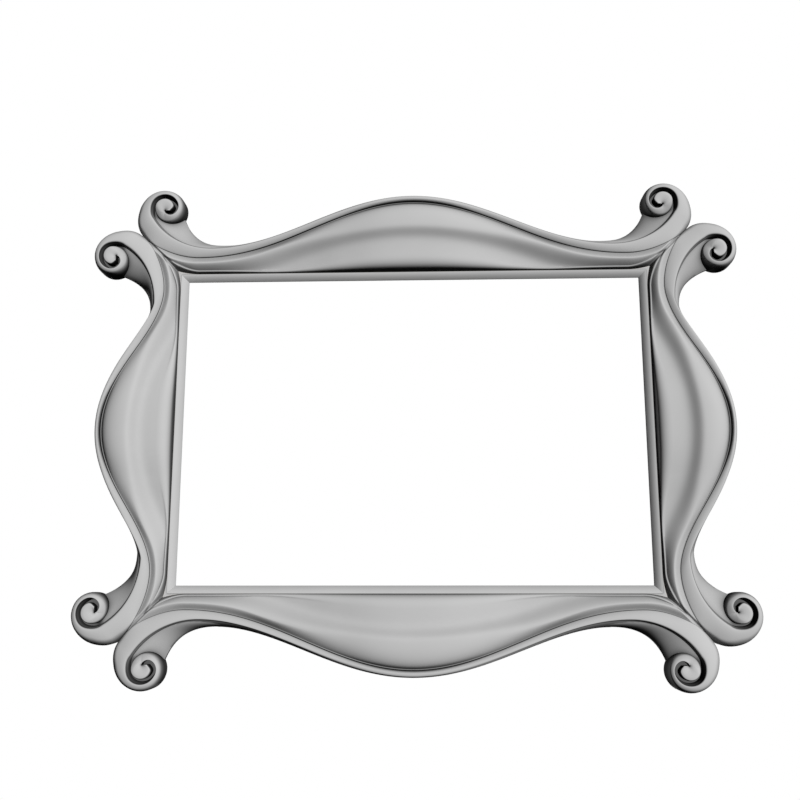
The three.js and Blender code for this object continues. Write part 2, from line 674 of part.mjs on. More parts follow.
// The four sides, clockwise from the top; each group is turned so that its outward direction is local +Z
const SIDES = ['top', 'right', 'bottom', 'left'];
let buttonCount = 0;
SIDES.forEach((side, index) => {
  const long = index % 2 === 0;
  const half = long ? HALF_WIDTH : HALF_HEIGHT;
  const across = long ? HALF_HEIGHT : HALF_WIDTH;
  const shape = long ? LONG_SWELL : SHORT_SWELL;
  const buttonPlaces = long ? [-LONG_BUTTON_SPACING / 2, LONG_BUTTON_SPACING / 2] : [0];
  const screwHoles = buttonPlaces.map((along) => [along, BUTTON_PIVOT]);
  if (!long) {
    const up = side === 'left' ? 1 : -1;
    for (const below of STRAP_SCREWS_BELOW_RING) {
      screwHoles.push([up * (HANGER_ABOVE_CENTRE - below), HANGER_FROM_SIGHT]);
    }
  }
  const group = new THREE.Group();
  group.rotation.y = (index * Math.PI) / 2;
  group.add(piece(`${side}_rail`, carvedRail(half, across, shape, screwHoles), timber));
  group.add(piece(`${side}_slip`, sightSlip(half, across), timber));
  const key = prism(across, keyOutline(half, 1, 0), 0, KEY_DEPTH);
  group.add(piece(`corner_key_${index + 1}`, key, keyTimber));
  for (const along of buttonPlaces) {
    buttonCount += 1;
    const button = piece(`turn_button_${buttonCount}`, turnButton(), brassy);
    button.position.set(along, SEAT_GAP, across + BUTTON_PIVOT);
    const screw = piece(`button_screw_${buttonCount}`, woodScrew(BUTTON_THICKNESS), brassy);
    screw.position.set(along, 2 * SEAT_GAP + BUTTON_THICKNESS, across + BUTTON_PIVOT);
    group.add(button, screw);
  }
  body.add(group);
});

// Ring hangers on the two upright rails, each with its two screws
for (const [side, sign] of [['left', -1], ['right', 1]]) {
  const hanger = new THREE.Group();
  hanger.position.set(sign * (HALF_WIDTH + HANGER_FROM_SIGHT), 0, HANGER_ABOVE_CENTRE);
  hanger.add(piece(`${side}_hanger`, ringStrap(), plated));
  const ring = piece(`${side}_ring`, hangingRing(), plated);
  ring.position.y = BAR_DEPTH;
  hanger.add(ring);
  STRAP_SCREWS_BELOW_RING.forEach((below, index) => {
    const screw = piece(`${side}_hanger_screw_${index + 1}`, woodScrew(STRAP_THICKNESS), plated);
    screw.position.set(0, 2 * SEAT_GAP + STRAP_THICKNESS, -below);
    hanger.add(screw);
  });
  body.add(hanger);
}

// Bumpers under the lower corners, against the wall
for (const [side, sign] of [['left', -1], ['right', 1]]) {
  const along = sign * (HALF_WIDTH - BUMPER_FROM_CORNER);
  const bumper = new THREE.CylinderGeometry(BUMPER_RADIUS, BUMPER_RADIUS, BUMPER_THICKNESS, ROUND_SIDES);
  const mesh = piece(`wall_bumper_${side}`, bumper, pad);
  mesh.position.set(along, SEAT_GAP + BUMPER_THICKNESS / 2, -(HALF_HEIGHT + BUMPER_FROM_SIGHT));
  body.add(mesh);
}

export default frame;
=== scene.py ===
# Carved picture frame: the fine carving, the finishes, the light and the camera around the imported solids
import json
from math import atan2, ceil, cos, pi, radians, sin, sqrt, tan

import bmesh
import bpy
import numpy as np
from mathutils import Matrix, Vector


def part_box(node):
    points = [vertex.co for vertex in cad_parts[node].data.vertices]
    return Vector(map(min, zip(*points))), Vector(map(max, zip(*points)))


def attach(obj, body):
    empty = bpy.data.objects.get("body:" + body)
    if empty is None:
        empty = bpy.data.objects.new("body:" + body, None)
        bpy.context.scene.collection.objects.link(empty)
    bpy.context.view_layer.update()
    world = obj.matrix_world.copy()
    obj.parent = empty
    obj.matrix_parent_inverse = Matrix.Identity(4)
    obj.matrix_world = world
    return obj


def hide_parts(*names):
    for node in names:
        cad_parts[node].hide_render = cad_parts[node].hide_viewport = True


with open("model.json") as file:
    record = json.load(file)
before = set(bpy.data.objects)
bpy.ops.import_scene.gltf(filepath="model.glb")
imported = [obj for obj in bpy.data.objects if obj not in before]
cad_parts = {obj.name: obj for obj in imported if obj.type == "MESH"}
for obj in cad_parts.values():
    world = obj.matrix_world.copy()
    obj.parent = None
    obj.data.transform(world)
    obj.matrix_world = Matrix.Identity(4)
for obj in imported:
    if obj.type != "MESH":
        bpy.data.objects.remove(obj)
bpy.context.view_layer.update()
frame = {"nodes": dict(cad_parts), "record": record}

# Lengths are in millimetres, and each mesh is scaled to metres when it is placed
MM = 0.001

# Opening, taken from the sight slips
SIGHT_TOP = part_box("top_slip")[0].z / MM
SIGHT_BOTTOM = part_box("bottom_slip")[1].z / MM
HALF_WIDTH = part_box("right_slip")[0].x / MM
HALF_HEIGHT = (SIGHT_TOP - SIGHT_BOTTOM) / 2
CENTRE_HEIGHT = (SIGHT_TOP + SIGHT_BOTTOM) / 2
MITRE_GAP = 0.04
MITRE_INSET = MITRE_GAP / sqrt(2)
TRIM_DEPTH = 3.0
TRIM_HEIGHT = 60.0
TRIM_REACH = 130.0

# Sight slip
SLIP_FACE = 7.1
SLIP_WIDTH = 12.0
SLIP_CROWN_HEIGHT = 9.4
SLIP_TONGUE_HEIGHT = 8.8
SLIP_BACK_BEVEL = 1.2
RABBET_WIDTH = 7.0
RABBET_DEPTH = 3.5
SEAT_GAP = 0.3
REBATE_WIDTH = SLIP_WIDTH + SEAT_GAP
REBATE_HEIGHT = SLIP_TONGUE_HEIGHT + SEAT_GAP
WALL_FOOT = SLIP_FACE + SEAT_GAP

# Ribbon edges and rim: how far out they lie at the rail's middle, and where they have their waist
NEAR_CREST = 74.1
NEAR_WAIST = np.array([-12.0, 21.7])
FAR_WAIST = np.array([-25.0, 30.3])
RIM_WAIST = 36.9
FAR_FROM_RIM = 1.0
LONG_SWELL = {"rim_crest": 80.2, "rim_waist_back": 42.0, "near": 1.05, "far": 0.98, "rim": 0.92,
              "climb": [1.0, 1.8, 5.0, 8.4, 8.2, 6.5, 5.8], "fall": [2.0, 2.1, 2.6, 3.4, 3.8, 5.0, 7.6]}
SHORT_SWELL = {"rim_crest": 79.0, "rim_waist_back": 31.0, "near": 0.91, "far": 0.72, "rim": 0.76,
               "climb": [1.0, 1.7, 4.4, 7.0, 7.2, 6.3, 5.8], "fall": [2.0, 2.0, 2.0, 2.2, 2.6, 4.2, 7.6]}
NEAR_LEAD = 26.0
NEAR_PULL = np.array([8.6, 11.8])
FAR_LEAD = 24.0
FAR_PULL = np.array([12.1, 20.3])

# Scroll: its eye past the sight corner, and the ribbon's radii round it at each eighth of a turn
EYE = np.array([24.4, 73.0])
KNOTS_PER_TURN = 8
SCROLL_START_TURN = -1 / 8
SCROLL_OUTSIDE = [34.2, 28.3, 23.3, 20.6, 19.6, 18.6, 17.0, 13.6, 10.9, 9.6]
SCROLL_INSIDE = [15.1, 13.8, 14.1, 13.8, 13.6, 13.2, 9.9, 3.8]
EYE_END_TURN = 1.58
EYE_END_RADIUS = 7.0
EYE_TAPER_TURN = 1 / 8
GROOVE_FULL_TURN = 1 / 8
EYE_PIVOT = np.array([-0.6, -3.2])
EYE_PIVOT_RADIUS = 0.5
EYE_RISE = (0.75, 1.1)
SCROLL_UNDERCUT = 2.0
UNDERCUT_FADE = (0.15, 0.35)
SCROLL_FLOOR_RADIUS = 16.0
SCROLL_FLOOR_HEIGHT = 12.0

# Heights of the ribbon above the back, from the waist to the rail's middle by quarters of the swell
NEAR_EDGE = [17.7, 18.7, 20.7, 22.3, 24.3]
RIBBON_CROWN = [19.8, 20.9, 22.6, 24.0, 26.0]
FAR_EDGE = [18.6, 19.7, 21.4, 22.9, 25.0]
EDGE_DROP = [0.3, 0.3, 0.6, 1.0, 1.6]
RIM_HEIGHT = (8.6, 23.0)
RIM_RISE_POWER = 0.45
RIM_SUNK_HEIGHT = 2.0
RIM_SINK_SHARE = 0.5

# Heights of the ribbon round the scroll, by eighths of a turn
NOTCH_START_SHARE = 0.6
SCROLL_RIM = [15.4, 15.6, 16.0, 16.0, 16.4, 16.4, 16.6, 16.8, 16.8]
SCROLL_DROP = [8.0, 10.0, 9.0, 7.0, 7.0, 7.0, 5.0, 3.0, 2.4]
SCROLL_INSIDE_HEIGHT = 18.6
EYE_CROWN = 21.6
EYE_EDGE_FALL = 0.6
EYE_DROP = 3.0
EYE_DIMPLE = 2.4
FLANK_RUN = 3.2
FLANK_HEIGHT = 15.2
FLANK_FADE = (3 / 8, 5 / 8)
FLANK_PLAN_SHARE = 0.6
FLANK_FALL_SHARE = 0.4

# Section of the ribbon: where its crown lies across it, the round of its near edge and the bow of its slant
CROWN_SHARE = [0.9, 0.88, 0.8, 0.7, 0.5]
SCROLL_CROWN_SHARE = 0.9
EYE_CROWN_SHARE = 0.3
EDGE_ROUND = 1.2
SCROLL_ROUND = [4.5, 7.0, 6.0, 4.0, 3.4, 3.0, 2.6, 1.7, 1.3]
EDGE_ROUND_SHARE = 0.5
SLANT_BOW = 1.7

# Panel at the end and middle of the bend, at the waist, then at each quarter of the swell
CREST_HEIGHT = [19.2, 19.2, 19.2, 20.2, 22.6, 25.8, 29.8]
WALL_SHARE = [0.38, 0.25, 0.10, 0.05, 0.10, 0.165, 0.19]
RIDGE_FALL = [0.0, 0.2, 0.45, 0.4, 0.1, 0.0, 0.0]
CLIMB_START = [0.42, 0.32, 0.17, 0.09, 0.11, 0.17, 0.195]
CREST_SHARE = [0.52, 0.52, 0.57, 0.75, 0.75, 0.69, 0.645]
CLIMB_EASE_IN = [0.5, 0.35, 0.05, 0.8, 3.0, 5.0, 7.0]
CLIMB_EASE_OUT = [0.6, 0.6, 0.5, 0.8, 1.4, 2.0, 2.6]
FALL_EASE_IN = [0.6, 0.6, 0.6, 0.7, 0.8, 0.9, 1.0]
FALL_EASE_OUT = [0.5, 0.5, 0.5, 0.4, 0.2, -0.1, -0.4]
BEAD_RISE = [0.1, 0.1, 0.2, 0.4, 0.5, 0.6, 0.8]
WAIST_KNOT = 2
BEND_EASE = 1.5
RIDGE_MIDDLE_SHARE = 0.5
RIDGE_MIDDLE_FALL = 0.4
WALL_BOW = 2.2
WALL_POWER = [0.85, 0.8, 0.5, 0.3, 0.25, 0.25, 0.25]
BEAD_WIDTH = [0.8, 0.8, 0.8, 1.1, 1.3, 1.4, 1.5]
BEAD_FALL = 0.3
PANEL_TUCK = 1.2
PANEL_BEND_SHARE = 0.78
PANEL_OVERRUN = 0.6
PANEL_SINK = 3.0
PANEL_SINK_START = 0.75
WALL_FLARE = 3.6

# Leaf between the ribbon and the scroll
LEAF_RUN_IN = 6.0
LEAF_FREE_EDGE = [[-14, 35.2], [1, 46], [9.5, 71]]
LEAF_HIDDEN_EDGE = [[-50, 29], [-4, 22], [32, 36], [39, 70.5]]
LEAF_EDGE_HEIGHT = 3.6
LEAF_EDGE_SINK_SHARE = 0.5
LEAF_ROOT_HEIGHT = [16.4, 17.4, 17.0, 16.3, 15.8]
LEAF_TIP_SINK = 3.7
LEAF_TIP_START = 0.91
LEAF_FALL_POWER = [4.0, 2.8, 1.9, 1.7, 1.7]
LEAF_LIP_SHARE = 0.15
LEAF_LIP_POWER = 10

# Slip's fine face: its tilt at the sight edge and beside the panel, and how the tilt grows
SLIP_SIGHT_TILT = 43
SLIP_OUTER_TILT = 8
SLIP_TILT_EASE = 1.3
SLIP_ARRIS = 0.4
SLIP_STEPS = 14

# Corner keys
KEY_LENGTH = 30.0
KEY_END_WIDTH = 13.0
KEY_WAIST_WIDTH = 7.0
KEY_DEPTH = 4.0
KEY_CORNER_DISTANCE = 27.0
KEY_EASE = [(0.35, 0.0), (0.1, 0.1), (0.0, 0.35)]
KEY_COUNT = 4
HOLE_CLEARANCE = 0.15

# Turn buttons and their screws
BUTTON_WIDTH = 9.0
BUTTON_THICKNESS = 2.0
BUTTON_REACH = 16.8
BUTTON_EASE = 0.45
BUTTON_STEPS = 18
BUTTON_HOLE_CHAMFER = 0.15
BUTTON_HOLE_WIDENS = 1.1
BUTTON_EASE_DEGREES = (0, 30, 60, 90)
BUTTON_SIDE_SHARES = (0.25, 0.5, 0.75)
BUTTON_COUNT = 6
SCREW_RADIUS = 1.5
SCREW_DEPTH = 11.0
SCREW_HEAD_RADIUS = 3.2
SCREW_HEAD_HEIGHT = 1.7
SCREW_HEAD_EDGE = 0.12
SCREW_DOME_DEGREES = range(8, 89, 8)
SCREW_SLOT_WIDTH = 0.9
SCREW_SLOT_DEPTH = 0.9
SLOT_TURN = 2.4

# Ring hangers
STRAP_WIDTH = 12.0
STRAP_LENGTH = 29.0
STRAP_THICKNESS = 1.2
STRAP_LAP = 6.5
STRAP_WRAP_DEGREES = range(-90, 121, 14)
STRAP_ROUND_STEPS = np.array([0.02, 0.3, 0.8, 1.5, 2.4, 3.5, 4.7, 6.0])
STRAP_LEAF_STEPS = np.linspace(8 - STRAP_LENGTH, -0.5, 8)
STRAP_LAP_SHARES = (0.35, 0.7, 1.0)
STRAP_EASE = 0.3
STRAP_TIP_WIDTH = 0.1
STRAP_HOLE_SIDES = 24
STRAP_SCREWS_BELOW_RING = (10.4, 22.5)
RING_WIRE_RADIUS = 1.25
RING_CLEARANCE = 0.45
RING_HALF_WIDTH = 9.0
RING_DROP = 16.0
RING_CORNER = 2.5
RING_CORNER_STEPS = 10
RING_BOW_STEPS = 40
WIRE_SIDES = 20
LOOP_OUTER = RING_WIRE_RADIUS + RING_CLEARANCE + STRAP_THICKNESS
BAR_DEPTH = SEAT_GAP + LOOP_OUTER
LOOP_EASE = 0.02

# Wall bumpers
BUMPER_RADIUS = 5.0
BUMPER_THICKNESS = 5.2
BUMPER_ROUND = 1.3
BUMPER_FOOT_EASE = 0.3
BUMPER_ROUND_DEGREES = range(0, 91, 15)
BUMPER_DISH = [(2.8, 0.5), (0.0, 0.7)]

# Paint from the flanks to the faces that look to the front, as (facing, grey) stops: painted shade darkens
# the paint where a face turns from the front, most on the flanks that look towards the opening and less on
# the outer edge
FRONT_SHADE_TONES = [(0.75, 0.5), (0.9, 0.59), (1.0, 0.66)]
INWARD_SHADE_TONES = [(0.0, 0.04), (0.15, 0.08), (0.3, 0.17), (0.45, 0.33), (0.55, 0.4)]
OUTWARD_SHADE_TONES = [(0.0, 0.36), (0.05, 0.33), (0.16, 0.17), (0.3, 0.21), (0.5, 0.37)]
OUTWARD_REACH = 0.03

# Painted shade in the recesses, darker where the carving closes round a face, as (openness, share of the
# paint's tone) stops
RECESS_SHADE_TONES = [(0.2, 0.18), (0.4, 0.28), (0.6, 0.42), (0.75, 0.58), (0.9, 0.82), (1.0, 1.0)]
RECESS_SHADE_REACH = 0.03

# Faces that look straight to the back are bare wood
BACK_FACING = [(0.95, 0.0), (0.97, 1.0)]

# Colours and roughness, as stops over a noise
PAINT_CLOUDS = [(0.3, 0.965), (0.7, 1.0)]
PAINT_ROUGHNESS = [(0.3, 0.48), (0.7, 0.58)]
BACK_WOOD = [(0.3, (0.30, 0.19, 0.10)), (0.55, (0.44, 0.30, 0.17)), (0.75, (0.52, 0.37, 0.22))]
KEY_WOOD = [(0.3, (0.40, 0.26, 0.13)), (0.7, (0.58, 0.41, 0.24))]
KEY_ROUGHNESS = [(0.3, 0.75), (0.7, 0.6)]
BRASS = [(0.35, (0.66, 0.48, 0.20)), (0.65, (0.80, 0.62, 0.30))]
BRASS_ROUGHNESS = [(0.3, 0.36), (0.7, 0.5)]
ZINC = [(0.35, (0.55, 0.55, 0.53)), (0.65, (0.70, 0.69, 0.66))]
ZINC_ROUGHNESS = [(0.3, 0.4), (0.7, 0.56)]
RUBBER = [(0.3, 0.035), (0.7, 0.075)]
RUBBER_ROUGHNESS = [(0.3, 0.95), (0.7, 0.8)]

# Noise as its scale and detail, bump as its strength and depth, and the noise's stretch along each axis
PAINT_NOISE = (18, 4)
WOOD_NOISE = (120, 6)
BRUSH_NOISE = (900, 3)
BRUSH_BUMP = (0.06, 0.0002)
KEY_NOISE = (260, 6)
KEY_BUMP = (0.15, 0.0003)
PATCH_NOISE = (300, 4)
LINE_NOISE = (700, 3)
LINE_BUMP = (0.12, 0.0001)
SPECK_NOISE = (1500, 3)
SPECK_BUMP = (0.3, 0.0002)
LONG_GRAIN = (0.06, 1, 1)
SHORT_GRAIN = (1, 1, 0.06)
EVEN = (1, 1, 1)
BRUSHED = (1, 1, 8)

# Facets
SWELL_STEPS = 80
BEND_STEPS = 28
SCROLL_STEPS_PER_TURN = 84
LEAF_STEPS = 44
LEAF_ACROSS = 18
SCROLL_FLOOR_SIDES = 72
ROUND_SIDES = 40
SHARP_ANGLE = radians(38)
WELD_DISTANCE = 1e-7
EDGE_ANGLES = np.radians(np.linspace(0, 90, 9))
SLANT_SHARES = np.linspace(0, 1, 10)[1:]
FAR_ANGLES = np.radians(np.linspace(0, 90, 7))[1:]
FLANK_SHARES = np.linspace(0, 1, 8)[1:]
WALL_SHARES = np.linspace(0, 1, 13) ** 2
CLIMB_STEPS = 18
CLIMB_PARTS = 8
FALL_STEPS = 18
BEAD_SHARES = np.linspace(0, 1, 7)


def lerp(low, high, share):
    return low + (high - low) * share


def smoothstep(value, low, high):
    share = min(max((value - low) / (high - low), 0.0), 1.0)
    return share * share * (3 - 2 * share)


def unit(vector):
    return vector / np.linalg.norm(vector)


def through(knots, position):
    """A smooth value through evenly spaced knots, counted from the first."""
    last = len(knots) - 1
    position = min(max(position, 0.0), last)
    index = min(int(position), last - 1)
    share = position - index
    here, after = knots[index], knots[index + 1]
    leaving = (after - knots[max(index - 1, 0)]) / 2
    arriving = (knots[min(index + 2, last)] - here) / 2
    cubic = 2 * here - 2 * after + leaving + arriving
    square = 3 * after - 3 * here - 2 * leaving - arriving
    return ((cubic * share + square) * share + leaving) * share + here


def bezier(points, share):
    points = [np.asarray(point, float) for point in points]
    while len(points) > 1:
        points = [lerp(a, b, share) for a, b in zip(points, points[1:])]
    return points[0]


def swell(share, power):
    """Swell of the rail: 1 at its middle, 0 at its waist."""
    return (1 - cos(pi * (1 - share) ** power)) / 2


def around(turn):
    return np.array([cos(2 * pi * turn), sin(2 * pi * turn)])


def scroll_point(knots, turn):
    return EYE + through(knots, KNOTS_PER_TURN * (turn - SCROLL_START_TURN)) * around(turn)


def inside_point(turn):
    """The inside of the scroll ends on a small pivot, about which the eye fans out."""
    last_turn = SCROLL_START_TURN + (len(SCROLL_INSIDE) - 1) / KNOTS_PER_TURN
    if turn < last_turn:
        return scroll_point(SCROLL_INSIDE, turn)
    return EYE + EYE_PIVOT + EYE_PIVOT_RADIUS * around(turn)


def outside_point(turn):
    """The outside of the scroll closes in on the eye and tapers at its tip."""
    eye_turn = SCROLL_START_TURN + (len(SCROLL_OUTSIDE) - 1) / KNOTS_PER_TURN
    point = scroll_point(SCROLL_OUTSIDE, turn)
    if turn < eye_turn:
        return point
    taper = smoothstep(turn, EYE_END_TURN - EYE_TAPER_TURN, EYE_END_TURN)
    return EYE + (point - EYE) * lerp(1, EYE_END_RADIUS / SCROLL_OUTSIDE[-1], taper)


def bend_curve(waist, lead, end, pull):
    return [waist, waist + np.array([lead, 0]), end - pull, end]


NEAR_BEND = bend_curve(NEAR_WAIST, NEAR_LEAD, outside_point(SCROLL_START_TURN), NEAR_PULL)
FAR_BEND = bend_curve(FAR_WAIST, FAR_LEAD, inside_point(SCROLL_START_TURN), FAR_PULL)


def swell_point(half, power, share, waist, crest):
    """A point of an edge on the swelling stretch, from the rail's middle to the waist."""
    rise = swell(share, power)
    return np.array([lerp(-half, waist[0], share), lerp(waist[1], crest, rise)])


def rim_waist(shape):
    return np.array([-shape["rim_waist_back"], RIM_WAIST])


def swell_stations(half, shape):
    """Stations of the ribbon from the rail's middle to the waist."""
    for i in range(SWELL_STEPS):
        share = i / SWELL_STEPS
        rise = swell(share, shape["near"])
        quarter = rise * (len(NEAR_EDGE) - 1)
        far = swell_point(half, shape["far"], share, FAR_WAIST, shape["rim_crest"] - FAR_FROM_RIM)
        rim = swell_point(half, shape["rim"], share, rim_waist(shape), shape["rim_crest"])
        far_height = through(FAR_EDGE, quarter)
        rim_height = lerp(*RIM_HEIGHT, rise ** RIM_RISE_POWER)
        yield dict(
            near=swell_point(half, shape["near"], share, NEAR_WAIST, NEAR_CREST),
            far=far,
            flank=lerp(far, rim, FLANK_PLAN_SHARE),
            rim=rim,
            near_height=through(NEAR_EDGE, quarter),
            edge_drop=through(EDGE_DROP, quarter),
            edge_round=EDGE_ROUND,
            crown=through(RIBBON_CROWN, quarter),
            far_height=far_height,
            flank_height=lerp(far_height, rim_height, FLANK_FALL_SHARE),
            rim_height=rim_height,
            crown_share=through(CROWN_SHARE, quarter),
        )


def bend_stations(shape):
    """Stations of the ribbon from the waist to the scroll, where its rim sinks under the leaf."""
    rim_reach = rim_waist(shape) - FAR_WAIST
    for i in range(BEND_STEPS):
        share = i / BEND_STEPS
        near = bezier(NEAR_BEND, share)
        far = bezier(FAR_BEND, share)
        flank = far + FLANK_RUN * unit(far - near)
        rim = far + rim_reach * (1 - share) ** 2
        turning = smoothstep(share, 0, RIM_SINK_SHARE)
        notch = smoothstep(share, NOTCH_START_SHARE, 1)
        far_height = lerp(FAR_EDGE[0], SCROLL_INSIDE_HEIGHT, share)
        rim_height = lerp(RIM_HEIGHT[0], RIM_SUNK_HEIGHT, turning)
        waist_flank = lerp(far, rim, FLANK_PLAN_SHARE)
        waist_flank_height = lerp(far_height, RIM_HEIGHT[0], FLANK_FALL_SHARE)
        yield dict(
            near=near,
            far=far,
            flank=lerp(waist_flank, flank, turning),
            rim=lerp(rim, flank, turning),
            near_height=lerp(NEAR_EDGE[0], SCROLL_RIM[0], notch),
            edge_drop=lerp(EDGE_DROP[0], SCROLL_DROP[0], notch),
            edge_round=lerp(EDGE_ROUND, SCROLL_ROUND[0], notch),
            crown=RIBBON_CROWN[0],
            far_height=far_height,
            flank_height=lerp(waist_flank_height, FLANK_HEIGHT, turning),
            rim_height=rim_height,
            crown_share=lerp(CROWN_SHARE[0], SCROLL_CROWN_SHARE, share),
        )


def scroll_stations():
    """Stations of the ribbon round the scroll to the tip of the eye."""
    steps = ceil((EYE_END_TURN - SCROLL_START_TURN) * SCROLL_STEPS_PER_TURN)
    for i in range(steps + 1):
        turn = lerp(SCROLL_START_TURN, EYE_END_TURN, i / steps)
        eighth = KNOTS_PER_TURN * (turn - SCROLL_START_TURN)
        near = outside_point(turn)
        far = inside_point(turn)
        in_eye = smoothstep(turn, *EYE_RISE)
        in_groove = smoothstep(turn, SCROLL_START_TURN, GROOVE_FULL_TURN)
        flank_run = FLANK_RUN * (1 - smoothstep(turn, *FLANK_FADE))
        flank = far + flank_run * unit(far - near)
        fade = smoothstep(turn, *UNDERCUT_FADE)
        yield dict(
            near=near,
            far=far,
            flank=flank,
            rim=flank,
            near_height=lerp(through(SCROLL_RIM, eighth), EYE_CROWN - EYE_EDGE_FALL, in_eye),
            edge_drop=lerp(through(SCROLL_DROP, eighth), EYE_DROP, in_eye),
            edge_round=lerp(through(SCROLL_ROUND, eighth), EDGE_ROUND, in_eye),
            crown=lerp(RIBBON_CROWN[0], EYE_CROWN, in_eye),
            far_height=lerp(SCROLL_INSIDE_HEIGHT, EYE_CROWN - EYE_DIMPLE, in_eye),
            flank_height=lerp(FLANK_HEIGHT, SCROLL_FLOOR_HEIGHT, in_groove),
            rim_height=RIM_SUNK_HEIGHT,
            crown_share=lerp(SCROLL_CROWN_SHARE, EYE_CROWN_SHARE, in_eye),
            undercut=SCROLL_UNDERCUT * smoothstep(turn, SCROLL_START_TURN, 0) * (1 - fade),
        )


def ribbon_section(station):
    """Section of the ribbon: rounded near edge, bowed slant up to its crown, rounded far edge and flank."""
    near, far = station["near"], station["far"]
    crown_share = station["crown_share"]
    width = np.linalg.norm(far - near)
    edge_share = min(station["edge_round"] / (width * crown_share), EDGE_ROUND_SHARE)

    def slant(share):
        return lerp(station["near_height"], station["crown"], 1 - (1 - share) ** SLANT_BOW)

    foot = near + station.get("undercut", 0) * unit(far - near)
    section = [(foot, -TRIM_DEPTH)]
    for angle in EDGE_ANGLES:
        share = edge_share * (1 - cos(angle))
        height = slant(share) - station["edge_drop"] * (1 - sin(angle))
        section.append((lerp(near, far, crown_share * share), height))
    for step in SLANT_SHARES:
        share = lerp(edge_share, 1, step)
        section.append((lerp(near, far, crown_share * share), slant(share)))
    for angle in FAR_ANGLES:
        share = lerp(crown_share, 1, sin(angle))
        height = lerp(station["far_height"], station["crown"], cos(angle))
        section.append((lerp(near, far, share), height))
    plans = [far, station["flank"], station["rim"]]
    heights = [station["far_height"], station["flank_height"], station["rim_height"]]
    for share in FLANK_SHARES:
        section.append((bezier(plans, share), float(bezier(heights, share))))
    return section + [(station["rim"], -TRIM_DEPTH)]


def eased_climb(ease_in, ease_out, steps):
    """Heights from 0 to 1 at even steps of a climb that two powers ease at its start and end."""
    place = (np.arange(steps * CLIMB_PARTS) + 0.5) / (steps * CLIMB_PARTS)
    steepness = place ** ease_in * (1 - place) ** ease_out
    height = np.concatenate([[0.0], np.cumsum(steepness)])
    return height[::CLIMB_PARTS] / height[-1]


def panel_section(inner, outer, tuck, shape, knot, sink):
    """Section of the panel: the wall over the slip, the slope, and the fall to the bead beside the ribbon."""
    width = np.linalg.norm(outer - inner)
    wall_share = through(WALL_SHARE, knot)
    start = through(CLIMB_START, knot)
    crest_share = through(CREST_SHARE, knot)
    crest = through(CREST_HEIGHT, knot) - sink
    lobe = crest - through(shape["climb"], knot)
    ridge = lobe + through(RIDGE_FALL, knot)
    groove = crest - through(shape["fall"], knot)
    climb = eased_climb(through(CLIMB_EASE_IN, knot), through(CLIMB_EASE_OUT, knot), CLIMB_STEPS)
    fall = eased_climb(through(FALL_EASE_IN, knot), through(FALL_EASE_OUT, knot), FALL_STEPS)
    bead_start = 1 - through(BEAD_WIDTH, knot) / width
    outline = [(0.0, -TRIM_DEPTH)]
    for share in WALL_SHARES:
        height = (1 - (1 - share) ** WALL_BOW) ** through(WALL_POWER, knot)
        outline.append((wall_share * share, lerp(REBATE_HEIGHT, ridge, height)))
    ridge_middle = lerp(wall_share, start, RIDGE_MIDDLE_SHARE)
    outline.append((ridge_middle, lerp(ridge, lobe, RIDGE_MIDDLE_FALL)))
    outline.append((start, lobe))
    for i in range(1, CLIMB_STEPS + 1):
        outline.append((lerp(start, crest_share, i / CLIMB_STEPS), lerp(lobe, crest, climb[i])))
    for i in range(1, FALL_STEPS):
        outline.append((lerp(crest_share, bead_start, i / FALL_STEPS), lerp(crest, groove, fall[i])))
    for share in BEAD_SHARES:
        height = groove - BEAD_FALL * share + through(BEAD_RISE, knot) * sin(pi * share)
        outline.append((lerp(bead_start, 1, share), height))
    section = [(lerp(inner, outer, share), height) for share, height in outline]
    return section + [(tuck, groove - BEAD_FALL), (tuck, -TRIM_DEPTH)]


def panel_sections(half, shape):
    """Panel sections from the rail's middle to just past the mitre."""
    tuck = np.array([0, PANEL_TUCK])
    for i in range(SWELL_STEPS):
        share = i / SWELL_STEPS
        outer = swell_point(half, shape["near"], share, NEAR_WAIST, NEAR_CREST)
        inner = np.array([outer[0], WALL_FOOT])
        knot = lerp(WAIST_KNOT, len(CREST_HEIGHT) - 1, swell(share, shape["near"]))
        yield panel_section(inner, outer, outer + tuck, shape, knot, 0.0)
    mitre_foot = WALL_FOOT + WALL_FLARE + PANEL_OVERRUN
    for i in range(BEND_STEPS + 1):
        share = i / BEND_STEPS
        outer = bezier(NEAR_BEND, PANEL_BEND_SHARE * share)
        inner = np.array([lerp(NEAR_WAIST[0], mitre_foot, share), WALL_FOOT + WALL_FLARE * share ** 2])
        knot = WAIST_KNOT * (1 - share ** BEND_EASE)
        sink = PANEL_SINK * smoothstep(share, PANEL_SINK_START, 1)
        yield panel_section(inner, outer, outer + tuck, shape, knot, sink)


def leaf_sections(shape):
    """Leaf: a slope from its hidden edge under the ribbon, falling ever faster to its free edge."""
    start = rim_waist(shape)
    free = [[start[0] - LEAF_RUN_IN, start[1]], *LEAF_FREE_EDGE]
    for i in range(LEAF_STEPS + 1):
        share = i / LEAF_STEPS
        root = bezier(LEAF_HIDDEN_EDGE, share)
        edge = bezier(free, share)
        tip_sink = LEAF_TIP_SINK * smoothstep(share, LEAF_TIP_START, 1)
        knot = share * (len(LEAF_ROOT_HEIGHT) - 1)
        root_height = through(LEAF_ROOT_HEIGHT, knot) - tip_sink
        fall_power = through(LEAF_FALL_POWER, knot)
        edge_height = lerp(RIM_HEIGHT[0], LEAF_EDGE_HEIGHT, smoothstep(share, 0, LEAF_EDGE_SINK_SHARE))
        section = []
        for j in range(LEAF_ACROSS + 1):
            across = j / LEAF_ACROSS
            fall = lerp(across ** fall_power, across ** LEAF_LIP_POWER, LEAF_LIP_SHARE)
            height = lerp(root_height, edge_height, fall)
            section.append((lerp(root, edge, across), height))
        yield section + [(edge, -TRIM_DEPTH), (root, -TRIM_DEPTH)]


